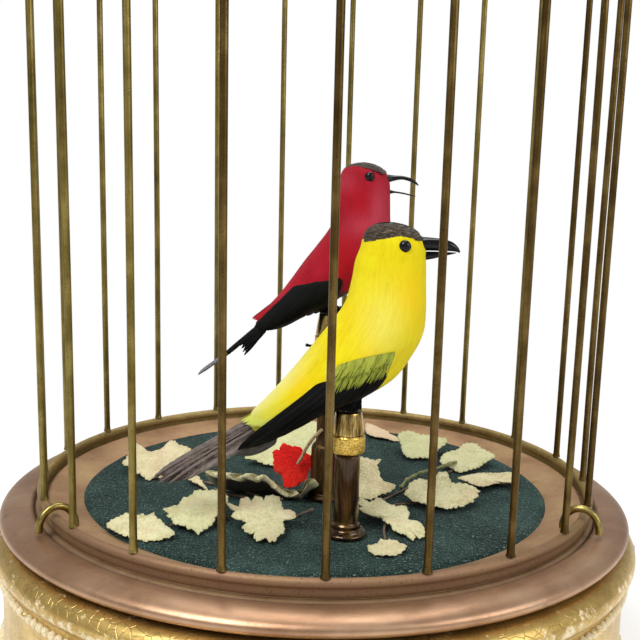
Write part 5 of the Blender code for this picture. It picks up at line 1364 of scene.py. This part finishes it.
def cloth(numbers, seed, thick, deep=0.0):
    """A stiffened cloth shape in mm, in its own plane, with its rise out of the plane last.

    The rim is the outline with small scallops: at arc length s it moves out by 0.36 times the absolute sine
    of 1.8 s, and by the share "deep" more along y. Rings grow from the middle over the top and come back
    underneath. The rise is a sum of broad waves, a bulge on each lobe, where the rim is farther out than its
    smoothed self, a crease along the lobe's middle, a fine crumple, and a curl near the rim.
    """
    rng = np.random.default_rng(seed)
    rim = round_outline(numbers, RIM_POINTS)
    reach = np.linalg.norm(rim, axis=1)
    arc = np.cumsum(np.linalg.norm(np.diff(rim, axis=0, append=rim[:1]), axis=1))
    wander = 0.9 * np.sin(0.31 * arc + seed)
    teeth = 0.36 * np.abs(np.sin(1.8 * arc + wander)) ** 0.6 + 0.06 * np.sin(7.3 * arc + 3 * wander) - 0.24
    rim = rim * (1 + teeth[:, None] * (1, 1 + deep) / reach[:, None])
    waves = np.fft.rfft(reach)
    waves[4:] = 0
    lobe = np.clip((reach / np.fft.irfft(waves, RIM_POINTS) - 1) * 3.5, -1, 1)
    top = np.concatenate([[0.02], np.linspace(0.08, 0.9, 20), [0.95, 0.985, 1.0]])
    share = np.concatenate([top, top[::-3]])[:, None]
    upper = np.concatenate([np.ones(len(top)), -np.ones(len(top[::-3]))])[:, None]
    x, y = share * rim[:, 0], share * rim[:, 1]
    drawn = [rng.uniform(*ends, 4) for ends in ((0.06, 0.20), (0.3, 1.4), (-1.4, 1.4), (0, 6))]
    broad = sum(size * np.sin(0.35 * fx * x + 0.35 * fy * y + phase) for size, fx, fy, phase in zip(*drawn))
    bulge = 0.25 * share**1.5 * lobe
    crease = -0.30 * np.clip(lobe, 0, 1) ** 3 * share * (1.1 - share)
    crumple = 0.07 * np.sin(4.7 * x + 2.1 * y + seed) * np.sin(3.9 * y - 1.7 * x)
    curl = 0.18 * share**3 * np.sin(4 * np.arctan2(y, x) + seed)
    rise = broad + bulge + crease + crumple + curl + thick * upper * np.sqrt(1 - 0.96 * share**6)
    # The under share marks the underside, which stiff_cloth darkens with painted shade.
    return x, y, rise, {"edge": share**14, "under": np.clip(-upper, 0, 1) * 0.8}


def leaf(middle, tilt, numbers, seed):
    """A cloth leaf leant toward the front about its middle and kept above the felt.

    A folded leaf is thick, and its right side drops in two folds.
    """
    folded = tilt < FOLDED_DEG
    thick, deep = (1.0, 0.0) if folded else (0.32, 0.9)
    x, y, rise, values = cloth(numbers, seed, thick, deep)
    c, s = math.cos(math.radians(tilt)), math.sin(math.radians(tilt))
    height = middle[2] + y * s + rise * c
    if folded:
        # On a folded leaf the painted shade of the underside stops short of its rim, so a pale strip shows.
        values = {"under": values["under"] * np.clip(8 - 8.6 * values["edge"] ** (1 / 14), 0, 1)}
        height = height - 3.0 * grow(x, 0.5, 4.5) * grow(x, 9.9, -0.9) - 3.0 * grow(x, 12, 2.3) ** 2
        x = x + 1.6 * grow(x, 9.5, 4.8)
    points = np.stack([middle[0] + x, middle[1] + y * c - rise * s, np.maximum(height, 0.05)], -1) * MM
    return points + (0, 0, FELT_TOP), values


def stalk_line(middle, start, bend):
    """A stalk on the felt: from its start over its bend to just inside the leaf."""
    away = np.subtract(bend, middle[:2])
    end = np.add(middle[:2], min(6.5 / np.hypot(*away), 0.6) * away)
    return np.array([(*start, 0.6), (*bend, 0.5), (*end, 0.4)]) * MM + (0, 0, FELT_TOP)


def sprays():
    """Leaves and their twisted stalks, laid on the felt."""
    cream, brown, green = (stiff_cloth(name) for name in ("cream_leaf", "brown_stalk", "green_vine"))
    t = np.linspace(0, 1, 40)
    for name, leaves in LEAVES.items():
        shape = Surfaces()
        stalks = Surfaces()
        for index, (middle, tilt, (start, bend), numbers) in enumerate(leaves):
            points, values = leaf(middle, tilt, numbers, 11 * index + len(name))
            shape.tube(points, hue=HUES[name][index], **values)
            if middle[1] > HIDDEN_STALK_Y:
                continue
            path = smooth_path(stalk_line(middle, start, bend), 40)
            path[:, 2] = np.maximum(path[:, 2] + 0.0001 * np.sin(9 * t + index), FELT_TOP + 0.0003)
            stalks.tube(bar(path, STALK_R * (1 + 0.25 * np.sin(40 * t)), 8))
        shape.put(f"leaves_{name}", cream, "base", "leaf_cloth", f"leaf_spray_{name}")
        stalks.put(f"stalks_{name}", brown, "base", "leaf_cloth")
    t = np.linspace(0, 1, 60)
    path = smooth_path(np.array(VINE) * MM + (0, 0, FELT_TOP), 60)
    radius = VINE_R * (1 + 0.26 * np.sin(37 * t) + 0.18 * np.sin(61 * t + 1) + 0.5 * t**6)
    shape = Surfaces().tube(bar(path, radius, 10))
    shape.put("green_vine", green, "base", "leaf_cloth")


def bloom():
    """A ragged cloth bloom that faces the front: three crumpled layers, the front one as measured."""
    shape = Surfaces()
    for layer, (size, turn, back) in enumerate(BLOOM_LAYERS):
        x, z, rise, values = cloth(BLOOM, 40 + layer, 0.35)
        c, s = size * math.cos(turn), size * math.sin(turn)
        height = np.maximum(3.25 + s * x + c * z, -2.3)
        points = np.stack([-5.7 - 0.35 * layer + c * x - s * z, -7.6 + back - 0.5 * rise, height], -1) * MM
        shape.tube(points + (0, 0, RAIL_Z), edge=0.4 * values["edge"])
    shape.put("bloom", stiff_cloth("red_cloth"), "base", "red_cloth", "flower")
    stem = Surfaces().tube(bar(smooth_path(np.array(BLOOM_STEM) * MM + (0, 0, RAIL_Z), 40), STEM_R, 10))
    stem.put("bloom_stem", stiff_cloth("tan_stem"), "base", "leaf_cloth")


# Hidden works keep their solids

BRASS_WORKS = ("bottom_plate", "movement_top_plate", "mainspring_barrel", "cam_arbor", "second_wheel",
               "fly_governor", "wind_chest_and_whistle")
STEEL_WORKS = ("winding_key", "whistle_piston", "stop_lever", "yellow_push_rod", "red_push_rod")


def dress_works():
    works = (
        (metal_finish("gear_brass"), BRASS_WORKS),
        (metal_finish("gear_steel"), STEEL_WORKS),
        (board_wood(), ("bellows_board",)),
    )
    for finish, nodes in works:
        for node in nodes:
            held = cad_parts[node].data.materials
            held.clear()
            held.append(finish)


# Stage

FLOOR_HALF_W = 6.0
# Each lamp's name, place, the point that it faces, size and power
LAMPS = (
    ("key", (-0.35, -0.45, 0.75), (0, 0, 0.10), 0.45, 6.6),
    ("fill", (0.55, -0.35, 0.40), (0, 0, 0.10), 0.40, 2.0),
    ("top", (0.05, 0.25, 0.85), (0, 0, 0.08), 0.50, 4.0),
)


def pale_floor():
    """A pale floor that fades to white away from the object."""
    w = FLOOR_HALF_W
    mesh = bpy.data.meshes.new("floor")
    mesh.from_pydata([(-w, -w, 0), (w, -w, 0), (w, w, 0), (-w, w, 0)], [], [(0, 1, 2, 3)])
    floor = bpy.data.objects.new("floor", mesh)
    bpy.context.scene.collection.objects.link(floor)
    finish = Finish("floor_white", Roughness=1.0, Specular_IOR_Level=0.0)
    where = finish.place()
    far = finish.node("ShaderNodeVectorMath", {"operation": "LENGTH"}, {0: where}, "Value")
    faint = finish.ramp(finish.noise(where, 9, 2), (0.0, (0.86, 0.86, 0.85)), (1.0, (0.90, 0.90, 0.895)))
    finish.use(Base_Color=faint)
    glow = finish.node("ShaderNodeEmission", {}, {"Color": (1, 1, 1), "Strength": 1.0})
    camera_ray = finish.node("ShaderNodeLightPath", out="Is Camera Ray")
    glossy_ray = finish.node("ShaderNodeLightPath", out="Is Glossy Ray")
    share = (far.above(0.12, 0.30) * (camera_ray + glossy_ray)).clamp()
    near = Value(finish, finish.shader.outputs[0])
    mixed = finish.node("ShaderNodeMixShader", {}, {0: share, 1: near, 2: glow})
    finish.link(finish.tree.nodes["Material Output"].inputs["Surface"], mixed)
    mesh.materials.append(finish.material)


def white_world():
    """A white world that lights the object with a part of the strength that the camera sees."""
    world = bpy.data.worlds.new("white")
    bpy.context.scene.world = world
    world.use_nodes = True
    nodes = Nodes(world.node_tree)
    camera_ray = nodes.node("ShaderNodeLightPath", out="Is Camera Ray")
    clear_ray = nodes.node("ShaderNodeLightPath", out="Is Transmission Ray")
    back = world.node_tree.nodes["Background"].inputs
    nodes.link(back["Color"], (1, 1, 1))
    nodes.link(back["Strength"], (camera_ray + clear_ray).clamp() * 0.62 + 0.38)


def lamps():
    for name, at, aim, size, power in LAMPS:
        light = bpy.data.lights.new(name, "AREA")
        light.size = size
        light.energy = power
        lamp = bpy.data.objects.new(name, light)
        lamp.location = at
        lamp.rotation_euler = (Vector(aim) - Vector(at)).to_track_quat("-Z", "Y").to_euler()
        bpy.context.scene.collection.objects.link(lamp)


def camera():
    """The photograph's viewpoint: looking along +Y, tipped down and rolled a little."""
    made = bpy.data.cameras.new("camera")
    made.lens = LENS_MM
    made.sensor_width = 36
    made.clip_start = 0.01
    made.clip_end = 50
    holder = bpy.data.objects.new("camera", made)
    down, roll = math.radians(CAMERA_DOWN_DEG), math.radians(CAMERA_ROLL_DEG)
    look = np.array([0, math.cos(down), -math.sin(down)])
    right = np.array([1.0, 0, 0])
    up = np.cross(right, look)
    x = math.cos(roll) * right + math.sin(roll) * up
    y = -math.sin(roll) * right + math.cos(roll) * up
    turn = Matrix(np.stack([x, y, -look], -1).tolist())
    holder.matrix_world = Matrix.Translation(CAMERA_AT) @ turn.to_4x4()
    bpy.context.scene.collection.objects.link(holder)
    bpy.context.scene.camera = holder
    bpy.context.scene.view_settings.view_transform = "Standard"


def main():
    cage_ring()
    cage_wires()
    hanging_loop(cage_dome())
    staples()
    felt_floor()
    floor_pan()
    base_drum()
    yellow_bird()
    red_bird()
    gold = engraved_gold()
    for bird, gloss in ((YELLOW, 1.0), (RED, 0.2)):
        post(bird, ferrule(bird, gold), dark_lacquer(bird.name + "_lacquer", gloss))
    sprays()
    bloom()
    dress_works()
    pale_floor()
    white_world()
    lamps()
    camera()


main()
